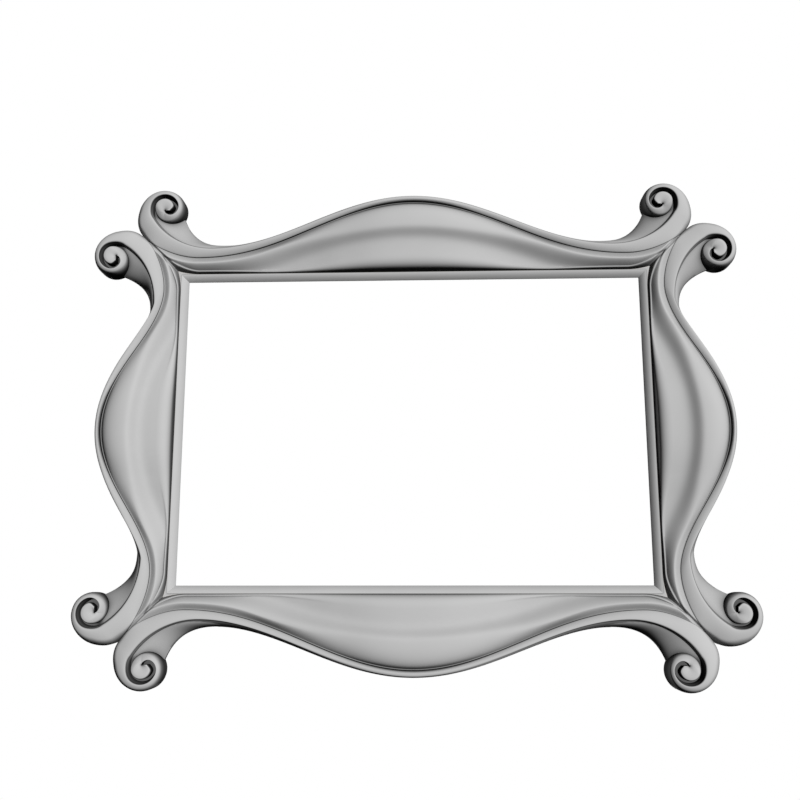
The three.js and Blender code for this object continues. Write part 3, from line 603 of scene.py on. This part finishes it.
def on_rail(section, half, side):
    """Rail coordinates (along, outward, height) of a section at the rail's end given by side."""
    return [(side * (half + plan[0]), plan[1], height) for plan, height in section]


def full_length(sections, half):
    """Sections of the whole rail from the sections of one half."""
    sections = list(sections)
    left = [on_rail(section, half, -1) for section in reversed(sections[1:])]
    return left + [on_rail(section, half, 1) for section in sections]


def face_outwards(mesh):
    bmesh.ops.recalc_face_normals(mesh, faces=mesh.faces)
    if mesh.calc_volume(signed=True) < 0:
        bmesh.ops.reverse_faces(mesh, faces=mesh.faces)
    return mesh


def loft_mesh(sections, closed=False):
    """A closed bmesh through sections of equally many points."""
    mesh = bmesh.new()
    rings = [[mesh.verts.new(point) for point in section] for section in sections]
    pairs = list(zip(rings, rings[1:]))
    if closed:
        pairs.append((rings[-1], rings[0]))
    for ring, after in pairs:
        for j in range(len(ring)):
            k = (j + 1) % len(ring)
            mesh.faces.new((ring[j], ring[k], after[k], after[j]))
    if not closed:
        mesh.faces.new(list(reversed(rings[0])))
        mesh.faces.new(rings[-1])
    return face_outwards(mesh)


def prism_mesh(outline, low, high):
    """A prism over an outline of (along, outward) points, between two heights."""
    return loft_mesh([[(x, t, height) for x, t in outline] for height in (low, high)])


def box_mesh(low, high):
    corners = [(low[0], low[1]), (high[0], low[1]), (high[0], high[1]), (low[0], high[1])]
    return prism_mesh(corners, low[2], high[2])


def round_outline(along, outward, radius, sides):
    turns = [around(i / sides) for i in range(sides)]
    return [(along + radius * turn[0], outward + radius * turn[1]) for turn in turns]


def new_object(name, data):
    thing = bpy.data.objects.new(name, data)
    bpy.context.scene.collection.objects.link(thing)
    return thing


def object_of(mesh, name):
    data = bpy.data.meshes.new(name)
    bmesh.ops.triangulate(mesh, faces=mesh.faces)
    mesh.to_mesh(data)
    mesh.free()
    return new_object(name, data)


def combine(base, others, operation):
    """Joins, cuts or trims base with each of the other objects, which are used up."""
    for other in others:
        modifier = base.modifiers.new("combine", "BOOLEAN")
        modifier.operation = operation
        modifier.solver = "MANIFOLD"
        modifier.object = other
    bpy.context.view_layer.update()
    evaluated = base.evaluated_get(bpy.context.evaluated_depsgraph_get())
    data = bpy.data.meshes.new_from_object(evaluated)
    base.modifiers.clear()
    base.data = data
    for other in others:
        bpy.data.objects.remove(other)
    return base


def shade(piece):
    """Smooth shading that breaks at the sharp edges."""
    mesh = bmesh.new()
    mesh.from_mesh(piece.data)
    bmesh.ops.remove_doubles(mesh, verts=mesh.verts, dist=WELD_DISTANCE)
    for face in mesh.faces:
        face.smooth = True
    for edge in mesh.edges:
        edge.smooth = len(edge.link_faces) == 2 and edge.calc_face_angle(0) < SHARP_ANGLE
    mesh.to_mesh(piece.data)
    mesh.free()


def mitre_outline(half):
    inner = half - TRIM_DEPTH - MITRE_INSET
    outer = half + TRIM_REACH - MITRE_INSET
    return [(-inner, -TRIM_DEPTH), (inner, -TRIM_DEPTH), (outer, TRIM_REACH), (-outer, TRIM_REACH)]


def carved_rail(name, half, shape):
    """One carved rail in rail coordinates: panel, ribbon with its scrolls, leaves and scroll floors."""
    ribbon = []
    for stations in (swell_stations(half, shape), bend_stations(shape), scroll_stations()):
        ribbon.extend(ribbon_section(station) for station in stations)
    rail = object_of(loft_mesh(full_length(panel_sections(half, shape), half)), name)
    added = [object_of(loft_mesh(full_length(ribbon, half)), "ribbon")]
    for side in (-1, 1):
        leaf = [on_rail(section, half, side) for section in leaf_sections(shape)]
        added.append(object_of(loft_mesh(leaf), "leaf"))
        floor = round_outline(side * (half + EYE[0]), EYE[1], SCROLL_FLOOR_RADIUS, SCROLL_FLOOR_SIDES)
        added.append(object_of(prism_mesh(floor, -TRIM_DEPTH, SCROLL_FLOOR_HEIGHT), "floor"))
    combine(rail, added, "UNION")
    combine(rail, [object_of(prism_mesh(mitre_outline(half), 0, TRIM_HEIGHT), "mitre")], "INTERSECT")
    reach = half + TRIM_REACH
    rebate = box_mesh((-reach, -TRIM_DEPTH, -TRIM_DEPTH), (reach, REBATE_WIDTH, REBATE_HEIGHT))
    combine(rail, [object_of(rebate, "rebate")], "DIFFERENCE")
    return rail


def place_on_side(piece, across, quarter_turns):
    """Moves a mesh from rail coordinates to its side of the frame: 0 top, 1 right, 2 bottom, 3 left."""
    co = np.zeros(len(piece.data.vertices) * 3)
    piece.data.vertices.foreach_get("co", co)
    along, outward, height = co.reshape(-1, 3).T
    angle = quarter_turns * pi / 2
    up = across + outward
    x = along * cos(angle) + up * sin(angle)
    z = up * cos(angle) - along * sin(angle) + CENTRE_HEIGHT
    placed = np.column_stack([x, -height, z]) * MM
    piece.data.vertices.foreach_set("co", placed.ravel())
    piece.data.update()


def key_outline(half, side):
    """Outline of the pocket for a double dovetail key on the mitre, at the rail's end given by side."""
    waist = KEY_WAIST_WIDTH / 2 + HOLE_CLEARANCE
    wide_end = KEY_END_WIDTH / 2 + HOLE_CLEARANCE
    reach = KEY_LENGTH / 2 + HOLE_CLEARANCE
    local = [(-reach, -wide_end), (0, -waist), (reach, -wide_end)]
    local += [(-long, -wide) for long, wide in local]
    outline = []
    for long, wide in local:
        past = KEY_CORNER_DISTANCE + (wide + long) / sqrt(2)
        outward = KEY_CORNER_DISTANCE + (wide - long) / sqrt(2)
        outline.append((side * (half + past), outward))
    return outline


def cut_for_fittings(rail, half, holes):
    cutters = []
    for side in (-1, 1):
        pocket = prism_mesh(key_outline(half, side), -TRIM_DEPTH, KEY_DEPTH + SEAT_GAP)
        cutters.append(object_of(pocket, "pocket"))
    for along, outward in holes:
        outline = round_outline(along, outward, SCREW_RADIUS + HOLE_CLEARANCE, ROUND_SIDES)
        cutters.append(object_of(prism_mesh(outline, -TRIM_DEPTH, SCREW_DEPTH + SEAT_GAP), "hole"))
    combine(rail, cutters, "DIFFERENCE")


def slip_face():
    """Points of the slip's face from its crown at the panel, ever steeper, to the sight edge."""
    run = (SLIP_FACE - SLIP_ARRIS / 2) / SLIP_STEPS
    points = [(SLIP_FACE, SLIP_CROWN_HEIGHT)]
    for i in range(SLIP_STEPS):
        share = (i + 0.5) / SLIP_STEPS
        tilt = lerp(SLIP_OUTER_TILT, SLIP_SIGHT_TILT, 1 - (1 - share) ** SLIP_TILT_EASE)
        outward, height = points[-1]
        points.append((outward - run, height - run * tan(radians(tilt))))
    return points


def sight_slip(name, half):
    """Slip in rail coordinates: a rounded face, a tongue behind the panel, and the rabbet behind."""
    face = slip_face()
    profile = [(SLIP_BACK_BEVEL, RABBET_DEPTH), (0.0, face[-1][1] - SLIP_ARRIS), *reversed(face)]
    profile += [(SLIP_FACE, SLIP_TONGUE_HEIGHT), (SLIP_WIDTH, SLIP_TONGUE_HEIGHT), (SLIP_WIDTH, 0.0)]
    profile += [(RABBET_WIDTH, 0.0), (RABBET_WIDTH, RABBET_DEPTH)]
    ends = []
    for side in (-1, 1):
        ends.append([(side * (half + outward - MITRE_INSET), outward, height) for outward, height in profile])
    return object_of(loft_mesh(ends), name)


def finish_piece(piece, node, body):
    """Makes a piece stand for a node: it is shaded, the node's part is hidden and the piece rides on the
    node's body.
    """
    shade(piece)
    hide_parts(node)
    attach(piece, body)
    return piece


pivots = {joint["child"]: Vector(joint["pos_m"]) for joint in frame["record"]["behaviour"]["joints"]}


def side_of(index):
    """Half length of a side's sight edge and that edge's distance from the middle of the opening."""
    return (HALF_WIDTH, HALF_HEIGHT) if index % 2 == 0 else (HALF_HEIGHT, HALF_WIDTH)


def screw_holes(index):
    """Places of a rail's screws, in rail coordinates, from the screws behind it."""
    half, across = side_of(index)
    angle = index * pi / 2
    holes = []
    for node in frame["nodes"]:
        if "screw" not in node:
            continue
        low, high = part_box(node)
        x = (low.x + high.x) / 2 / MM
        z = (low.z + high.z) / 2 / MM - CENTRE_HEIGHT
        along = x * cos(angle) - z * sin(angle)
        outward = x * sin(angle) + z * cos(angle) - across
        if 0 < outward and abs(along) < half:
            holes.append((along, outward))
    return holes


long_pieces = []
short_pieces = []
for index, side in enumerate(("top", "right", "bottom", "left")):
    half, across = side_of(index)
    shape, pieces = (LONG_SWELL, long_pieces) if index % 2 == 0 else (SHORT_SWELL, short_pieces)
    rail = carved_rail(f"{side}_carving", half, shape)
    cut_for_fittings(rail, half, screw_holes(index))
    place_on_side(rail, across, index)
    pieces.append(finish_piece(rail, f"{side}_rail", "frame"))
    slip = sight_slip(f"{side}_rounded_slip", half)
    place_on_side(slip, across, index)
    pieces.append(finish_piece(slip, f"{side}_slip", "frame"))


def place(piece, seat, turn=Matrix()):
    """Moves a mesh made in millimetres to its seat in metres."""
    piece.data.transform(Matrix.Scale(MM, 4))
    piece.data.transform(Matrix.Translation(seat) @ turn)
    return piece


def turned(points, sides):
    """A closed bmesh turned about Y from (radius, y) points that start and end on the axis."""
    mesh = bmesh.new()
    rings = []
    for radius, y in points:
        if radius == 0:
            rings.append([mesh.verts.new((0, y, 0))])
            continue
        turns = [around(i / sides) for i in range(sides)]
        rings.append([mesh.verts.new((radius * turn[0], y, radius * turn[1])) for turn in turns])
    for ring, after in zip(rings, rings[1:]):
        for i in range(sides):
            k = (i + 1) % sides
            corners = [ring[i % len(ring)], ring[k % len(ring)], after[k % len(after)], after[i % len(after)]]
            mesh.faces.new(list(dict.fromkeys(corners)))
    return face_outwards(mesh)


def wood_screw(name, plate, slot_turn):
    """Slotted screw about Y with its head's seat at the origin, its dome towards +Y and its point at -Y."""
    length = SCREW_DEPTH + plate + 2 * SEAT_GAP
    points = [(0.0, SCREW_HEAD_HEIGHT)]
    for degrees in SCREW_DOME_DEGREES:
        angle = radians(degrees)
        points.append((SCREW_HEAD_RADIUS * sin(angle), SCREW_HEAD_HEIGHT * cos(angle)))
    points += [(SCREW_HEAD_RADIUS, SCREW_HEAD_EDGE), (SCREW_HEAD_RADIUS - SCREW_HEAD_EDGE, 0.0)]
    points += [(SCREW_RADIUS, 0.0), (SCREW_RADIUS, 2 * SCREW_RADIUS - length), (0.0, -length)]
    screw = object_of(turned(points, ROUND_SIDES), name)
    width = SCREW_SLOT_WIDTH / 2
    reach = 2 * SCREW_HEAD_RADIUS
    floor = SCREW_HEAD_HEIGHT - SCREW_SLOT_DEPTH
    slot = object_of(box_mesh((-reach, floor, -width), (reach, 2 * SCREW_HEAD_HEIGHT, width)), "slot")
    combine(screw, [slot], "DIFFERENCE")
    screw.data.transform(Matrix.Rotation(slot_turn, 4, "Y"))
    return screw


def turn_button(name):
    """Bar with round ends and eased edges about its screw hole, along +X, with its thickness along +Y."""
    radius = BUTTON_WIDTH / 2
    far = BUTTON_REACH - radius
    outline = []
    for centre, after, start in ((far, 0.0, -0.5), (0.0, far, 0.5)):
        for i in range(BUTTON_STEPS + 1):
            angle = pi * (i / BUTTON_STEPS + start)
            outline.append(np.array([centre + radius * cos(angle), radius * sin(angle)]))
        side = outline[-1][1]
        outline += [np.array([lerp(centre, after, share), side]) for share in BUTTON_SIDE_SHARES]
    hole = SCREW_RADIUS + HOLE_CLEARANCE
    sections = []
    for point in outline:
        core = np.array([min(max(point[0], 0.0), far), 0.0])
        inward = unit(core - point)
        rim = hole * unit(point)
        half_section = [(rim, BUTTON_HOLE_CHAMFER), (rim * BUTTON_HOLE_WIDENS, 0.0)]
        for degrees in BUTTON_EASE_DEGREES:
            angle = radians(degrees)
            eased = BUTTON_EASE * (1 - sin(angle))
            half_section.append((point + inward * eased, BUTTON_EASE * (1 - cos(angle))))
        section = half_section + [(plan, BUTTON_THICKNESS - y) for plan, y in reversed(half_section)]
        sections.append([(plan[0], y, plan[1]) for plan, y in section])
    return object_of(loft_mesh(sections, closed=True), name)


def strap_path():
    """Middle line of the folded strap as (y, z, direction): up, round the ring's bar and down the lap."""
    path = []
    leaf = SEAT_GAP + STRAP_THICKNESS / 2
    for z in np.concatenate([-STRAP_LENGTH + STRAP_ROUND_STEPS, STRAP_LEAF_STEPS]):
        path.append((leaf, z, np.array([0.0, 1.0])))
    bend = LOOP_OUTER - LOOP_EASE - STRAP_THICKNESS / 2
    for degrees in STRAP_WRAP_DEGREES:
        angle = radians(degrees)
        out = np.array([sin(angle), cos(angle)])
        direction = np.array([cos(angle), -sin(angle)])
        path.append((BAR_DEPTH + bend * out[0], bend * out[1], direction))
    end = np.array([leaf + STRAP_THICKNESS, -STRAP_LAP])
    last = np.array(path[-1][:2])
    for share in STRAP_LAP_SHARES:
        point = lerp(last, end, share)
        path.append((point[0], point[1], unit(end - last)))
    return path


def ring_strap(name):
    """Strap folded round the ring's bar: Y runs away from the rail's back, Z up, the bar along X."""
    half = STRAP_WIDTH / 2
    thick = STRAP_THICKNESS / 2
    sections = []
    for y, z, direction in strap_path():
        from_end = z + STRAP_LENGTH
        wide = half
        if from_end < half:
            wide = sqrt(max(half ** 2 - (half - from_end) ** 2, STRAP_TIP_WIDTH ** 2))
        normal = np.array([direction[1], -direction[0]])
        narrow = wide - STRAP_EASE
        thin = thick - STRAP_EASE
        corners = [(-narrow, -thick), (narrow, -thick), (wide, -thin), (wide, thin)]
        corners += [(narrow, thick), (-narrow, thick), (-wide, thin), (-wide, -thin)]
        sections.append([(x, y + normal[0] * off, z + normal[1] * off) for x, off in corners])
    strap = object_of(loft_mesh(sections), name)
    holes = []
    outline = round_outline(0, 0, SCREW_RADIUS + HOLE_CLEARANCE, STRAP_HOLE_SIDES)
    for below in STRAP_SCREWS_BELOW_RING:
        ends = [[(x, y, z - below) for x, z in outline] for y in (-STRAP_LENGTH, STRAP_LENGTH)]
        holes.append(object_of(loft_mesh(ends), "hole"))
    return combine(strap, holes, "DIFFERENCE")


def d_ring(name):
    """Round wire bent to a D that hangs from its straight bar, which lies along X at the origin."""
    low = RING_DROP - RING_HALF_WIDTH
    corner = RING_HALF_WIDTH - RING_CORNER
    arcs = [
        (-corner, -RING_CORNER, RING_CORNER, 180, 90, RING_CORNER_STEPS),
        (corner, -RING_CORNER, RING_CORNER, 90, 0, RING_CORNER_STEPS),
        (0.0, -low, RING_HALF_WIDTH, 0, -180, RING_BOW_STEPS),
    ]
    sections = []
    for x, z, radius, start, stop, steps in arcs:
        for i in range(steps + 1):
            angle = radians(lerp(start, stop, i / steps))
            out = np.array([cos(angle), sin(angle)])
            section = []
            for j in range(WIRE_SIDES):
                turn = around(j / WIRE_SIDES)
                reach = radius + RING_WIRE_RADIUS * turn[0]
                section.append((x + reach * out[0], RING_WIRE_RADIUS * turn[1], z + reach * out[1]))
            sections.append(section)
    return object_of(loft_mesh(sections, closed=True), name)


def corner_key(name):
    """Double dovetail along X with its eased face at the back, y = 0."""
    waist, wide_end, reach = KEY_WAIST_WIDTH / 2, KEY_END_WIDTH / 2, KEY_LENGTH / 2
    sections = []
    for depth, inset in [(KEY_DEPTH, 0.0), *KEY_EASE]:
        long, wide, narrow = reach - inset, wide_end - inset, waist - inset
        outline = [(-long, -wide), (0, -narrow), (long, -wide), (long, wide), (0, narrow), (-long, wide)]
        sections.append([(x, -depth, z) for x, z in outline])
    return object_of(loft_mesh(sections), name)


def wall_bumper(name):
    """Rubber pad about Y with a rounded free face."""
    points = [(0.0, 0.0), (BUMPER_RADIUS - BUMPER_FOOT_EASE, 0.0), (BUMPER_RADIUS, BUMPER_FOOT_EASE)]
    for degrees in BUMPER_ROUND_DEGREES:
        angle = radians(degrees)
        radius = BUMPER_RADIUS - BUMPER_ROUND * (1 - cos(angle))
        points.append((radius, BUMPER_THICKNESS - BUMPER_ROUND * (1 - sin(angle))))
    points += [(radius, BUMPER_THICKNESS - sunk) for radius, sunk in BUMPER_DISH]
    return object_of(turned(points, ROUND_SIDES), name)


def box_middle(node):
    low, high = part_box(node)
    return (low + high) / 2


hardware = {"brass": [], "plated_steel": [], "key_timber": [], "bumper_rubber": []}


def add_hardware(piece, node, body, slot):
    hardware[slot].append(finish_piece(piece, node, body))


for i in range(BUTTON_COUNT):
    node = f"turn_button_{i + 1}"
    pivot = pivots[node]
    lies_along = box_middle(node) - pivot
    turn = Matrix.Rotation(atan2(-lies_along.z, lies_along.x), 4, "Y")
    seat = Vector((pivot.x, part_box(node)[0].y, pivot.z))
    add_hardware(place(turn_button(f"{node}_bar"), seat, turn), node, node, "brass")
    screw_node = f"button_screw_{i + 1}"
    head = Vector((pivot.x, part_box(screw_node)[1].y - SCREW_HEAD_HEIGHT * MM, pivot.z))
    screw = wood_screw(f"{screw_node}_slotted", BUTTON_THICKNESS, SLOT_TURN * i)
    add_hardware(place(screw, head), screw_node, "frame", "brass")

for side in ("left", "right"):
    bar = pivots[f"{side}_ring"]
    back = Vector((bar.x, 0, bar.z))
    strap = place(ring_strap(f"{side}_folded_strap"), back)
    add_hardware(strap, f"{side}_hanger", "frame", "plated_steel")
    ring = place(d_ring(f"{side}_wire_ring"), bar)
    add_hardware(ring, f"{side}_ring", f"{side}_ring", "plated_steel")
    for i in (1, 2):
        node = f"{side}_hanger_screw_{i}"
        head = box_middle(node)
        head.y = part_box(node)[1].y - SCREW_HEAD_HEIGHT * MM
        screw = wood_screw(f"{node}_slotted", STRAP_THICKNESS, SLOT_TURN * (BUTTON_COUNT - 1 + i))
        add_hardware(place(screw, head), node, "frame", "plated_steel")
    node = f"wall_bumper_{side}"
    seat = box_middle(node)
    seat.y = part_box(node)[0].y
    add_hardware(place(wall_bumper(f"{node}_pad"), seat), node, "frame", "bumper_rubber")

for i in range(KEY_COUNT):
    node = f"corner_key_{i + 1}"
    middle = box_middle(node)
    middle.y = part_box(node)[1].y
    lean = 1 if (middle.x > 0) == (middle.z / MM > CENTRE_HEIGHT) else -1
    turn = Matrix.Rotation(lean * pi / 4, 4, "Y")
    add_hardware(place(corner_key(f"{node}_dovetail"), middle, turn), node, "frame", "key_timber")


# Sockets of a colour mix
MIX_SHARE, MIX_FIRST, MIX_SECOND, MIX_RESULT = 0, 6, 7, 2


class Finish:
    """A material under construction; the calls that add nodes give the socket of their result."""

    def __init__(self, name):
        self.material = bpy.data.materials.new(name)
        self.material.use_nodes = True
        self.nodes = self.material.node_tree.nodes
        self.shader = self.nodes["Principled BSDF"]

    def add(self, kind, **inputs):
        node = self.nodes.new(kind)
        for name, value in inputs.items():
            node.inputs[name.replace("_", " ")].default_value = value
        return node

    def link(self, source, target, entry):
        self.material.node_tree.links.new(source, target.inputs[entry])

    def place(self):
        return self.nodes.new("ShaderNodeTexCoord").outputs["Object"]

    def ramp(self, source, stops):
        """A colour ramp over a value, from (position, colour) stops."""
        node = self.nodes.new("ShaderNodeValToRGB")
        elements = node.color_ramp.elements
        while len(elements) < len(stops):
            elements.new(0.5)
        for element, (position, colour) in zip(elements, stops):
            element.position = position
            element.color = (*colour, 1)
        self.link(source, node, "Fac")
        return node.outputs["Color"]

    def noise(self, scale, detail, stretch):
        """Noise in object space, stretched along the axes."""
        mapping = self.add("ShaderNodeMapping", Scale=stretch)
        self.link(self.place(), mapping, "Vector")
        node = self.add("ShaderNodeTexNoise", Scale=scale, Detail=detail)
        self.link(mapping.outputs["Vector"], node, "Vector")
        return node.outputs["Fac"]

    def mix(self, first, second, share=None):
        """Two colours blended by a share, or multiplied where no share is given."""
        node = self.nodes.new("ShaderNodeMix")
        node.data_type = "RGBA"
        if share is None:
            node.blend_type = "MULTIPLY"
            node.inputs[MIX_SHARE].default_value = 1
        else:
            self.link(share, node, MIX_SHARE)
        self.link(first, node, MIX_FIRST)
        self.link(second, node, MIX_SECOND)
        return node.outputs[MIX_RESULT]

    def outwardness(self, normal):
        """0 where a face looks towards the middle of the opening, 1 where it looks away from it."""
        away = self.nodes.new("ShaderNodeVectorMath")
        away.operation = "MULTIPLY_ADD"
        away.inputs[1].default_value = (1, 0, 1)
        away.inputs[2].default_value = (0, 0, -CENTRE_HEIGHT * MM)
        self.link(self.place(), away, 0)
        along = self.nodes.new("ShaderNodeVectorMath")
        along.operation = "DOT_PRODUCT"
        self.link(away.outputs["Vector"], along, 0)
        self.link(normal, along, 1)
        share = self.add("ShaderNodeMapRange", From_Min=-OUTWARD_REACH, From_Max=OUTWARD_REACH)
        self.link(along.outputs["Value"], share, "Value")
        return share.outputs["Result"]

    def base_colour(self, source, stops):
        self.link(self.ramp(source, stops), self.shader, "Base Color")

    def roughness(self, source, stops):
        self.link(self.ramp(source, greys(stops)), self.shader, "Roughness")

    def bump(self, source, strength, distance):
        node = self.add("ShaderNodeBump", Strength=strength, Distance=distance)
        self.link(source, node, "Height")
        self.link(node.outputs["Normal"], self.shader, "Normal")


def greys(stops):
    """The stops of a ramp with each tone as a grey colour."""
    return [(place, (tone, tone, tone)) for place, tone in stops]


def painted_timber(name, grain_stretch):
    """Smooth paint with painted shade, darker on the flanks as they turn from the front and darker in the
    recesses; the flat back is left as bare wood with its grain.
    """
    finish = Finish(name)
    normal = finish.nodes.new("ShaderNodeNewGeometry").outputs["Normal"]
    apart = finish.nodes.new("ShaderNodeSeparateXYZ")
    finish.link(normal, apart, "Vector")
    # Painted shade: the paint darkens as a face turns from the front, more on flanks that look towards the
    # opening
    facing = finish.add("ShaderNodeMapRange", From_Min=0.0, From_Max=-1.0)
    finish.link(apart.outputs["Y"], facing, "Value")
    inward = finish.ramp(facing.outputs["Result"], greys(INWARD_SHADE_TONES + FRONT_SHADE_TONES))
    outward = finish.ramp(facing.outputs["Result"], greys(OUTWARD_SHADE_TONES + FRONT_SHADE_TONES))
    toned = finish.mix(inward, outward, finish.outwardness(normal))
    cloud = finish.noise(*PAINT_NOISE, EVEN)
    clouded = finish.mix(toned, finish.ramp(cloud, greys(PAINT_CLOUDS)))
    # Painted shade in the recesses: the paint darkens where the carving itself closes round a face
    recess_occlusion = finish.add("ShaderNodeAmbientOcclusion", Distance=RECESS_SHADE_REACH)
    recess_occlusion.only_local = True
    paint = finish.mix(clouded, finish.ramp(recess_occlusion.outputs["AO"], greys(RECESS_SHADE_TONES)))
    wood = finish.ramp(finish.noise(*WOOD_NOISE, grain_stretch), BACK_WOOD)
    is_back = finish.ramp(apart.outputs["Y"], greys(BACK_FACING))
    finish.link(finish.mix(paint, wood, is_back), finish.shader, "Base Color")
    finish.roughness(cloud, PAINT_ROUGHNESS)
    finish.shader.inputs["Specular IOR Level"].default_value = 0.0
    finish.bump(finish.noise(*BRUSH_NOISE, grain_stretch), *BRUSH_BUMP)
    return finish.material


def key_timber():
    """Planed hardwood."""
    finish = Finish("planed_hardwood")
    grain = finish.noise(*KEY_NOISE, EVEN)
    finish.base_colour(grain, KEY_WOOD)
    finish.roughness(grain, KEY_ROUGHNESS)
    finish.bump(grain, *KEY_BUMP)
    return finish.material


def metal(name, colours, roughness):
    """Brushed metal: slow patches change its colour, and fine lines its gloss."""
    finish = Finish(name)
    finish.base_colour(finish.noise(*PATCH_NOISE, EVEN), colours)
    lines = finish.noise(*LINE_NOISE, BRUSHED)
    finish.roughness(lines, roughness)
    finish.shader.inputs["Metallic"].default_value = 1
    finish.bump(lines, *LINE_BUMP)
    return finish.material


def rubber():
    """Matte black rubber with a fine moulded texture."""
    finish = Finish("moulded_rubber")
    specks = finish.noise(*SPECK_NOISE, EVEN)
    finish.base_colour(specks, greys(RUBBER))
    finish.roughness(specks, RUBBER_ROUGHNESS)
    finish.bump(specks, *SPECK_BUMP)
    return finish.material


def dress(pieces, material):
    for piece in pieces:
        piece.data.materials.clear()
        piece.data.materials.append(material)


dress(long_pieces, painted_timber("painted_long_timber", LONG_GRAIN))
dress(short_pieces, painted_timber("painted_short_timber", SHORT_GRAIN))
dress(hardware["brass"], metal("brushed_brass", BRASS, BRASS_ROUGHNESS))
dress(hardware["plated_steel"], metal("zinc_plate", ZINC, ZINC_ROUGHNESS))
dress(hardware["key_timber"], key_timber())
dress(hardware["bumper_rubber"], rubber())

# Studio
AMBIENT_LEVEL = 0.008
FLOOR_LEVEL = -1.1
FLOOR_RADIUS = 2.4
FLOOR_SEGMENTS = 96
FLOOR_NOISE = (3, 4)
FLOOR_TONES = [(0.3, 0.86), (0.7, 0.89)]
FLOOR_ROUGHNESS = 0.9

# Lamps: where their light comes from, their strength and their softness in degrees
MAIN_FROM = (0.6, -0.73, 0.32)
MAIN_ENERGY = 3.35
MAIN_SOFTNESS = 14
BACK_FROM = (0, 0.85, 0.53)
BACK_ENERGY = 1.5
BACK_SOFTNESS = 8
SIDE_FROM = (-0.6, 0.8, 0)
SIDE_ENERGY = 2.0

# Camera
CAMERA_PLACE = Vector((0.02033, -0.90560, -0.34760))
CAMERA_AIM = Vector((-0.01202, 0.0, -0.16306))
CAMERA_LENS = 43.456
SENSOR_WIDTH = 36


def aim(thing, direction):
    thing.rotation_mode = "QUATERNION"
    thing.rotation_quaternion = direction.to_track_quat("-Z", "Y")


def sun(name, from_direction, energy, softness, shadow):
    lamp = new_object(name, bpy.data.lights.new(name, "SUN"))
    lamp.data.energy = energy
    lamp.data.angle = radians(softness)
    lamp.data.use_shadow = shadow
    aim(lamp, -Vector(from_direction))
    return lamp


camera = new_object("camera", bpy.data.cameras.new("camera"))
camera.data.lens = CAMERA_LENS
camera.data.sensor_width = SENSOR_WIDTH
camera.location = CAMERA_PLACE
aim(camera, CAMERA_AIM - CAMERA_PLACE)
bpy.context.scene.camera = camera

sun("key_light", MAIN_FROM, MAIN_ENERGY, MAIN_SOFTNESS, False)
sun("back_light", BACK_FROM, BACK_ENERGY, BACK_SOFTNESS, True).visible_glossy = False
sun("side_light", SIDE_FROM, SIDE_ENERGY, BACK_SOFTNESS, True).visible_glossy = False


def studio_world():
    """White behind the object, and only a little light on it from all round."""
    world = bpy.data.worlds.new("studio")
    world.use_nodes = True
    bpy.context.scene.world = world
    nodes, links = world.node_tree.nodes, world.node_tree.links
    path = nodes.new("ShaderNodeLightPath")
    seen = path.outputs["Is Camera Ray"]
    for output in ("Is Glossy Ray", "Is Transmission Ray"):
        either = nodes.new("ShaderNodeMath")
        either.operation = "MAXIMUM"
        links.new(seen, either.inputs[0])
        links.new(path.outputs[output], either.inputs[1])
        seen = either.outputs[0]
    strength = nodes.new("ShaderNodeMapRange")
    strength.inputs["To Min"].default_value = AMBIENT_LEVEL
    strength.inputs["To Max"].default_value = 1.0
    links.new(seen, strength.inputs["Value"])
    background = nodes["Background"]
    background.inputs["Color"].default_value = (1, 1, 1, 1)
    links.new(strength.outputs["Result"], background.inputs["Strength"])


def studio_floor():
    """Pale floor well below the frame, out of the main view."""
    mesh = bmesh.new()
    bmesh.ops.create_circle(mesh, cap_ends=True, segments=FLOOR_SEGMENTS, radius=FLOOR_RADIUS)
    floor = object_of(mesh, "studio_floor")
    floor.location = (0, 0, FLOOR_LEVEL)
    floor.visible_diffuse = False
    finish = Finish("pale_floor")
    cloud = finish.noise(*FLOOR_NOISE, EVEN)
    finish.base_colour(cloud, greys(FLOOR_TONES))
    finish.shader.inputs["Roughness"].default_value = FLOOR_ROUGHNESS
    dress([floor], finish.material)


studio_world()
studio_floor()

bpy.context.scene.view_settings.view_transform = "Standard"
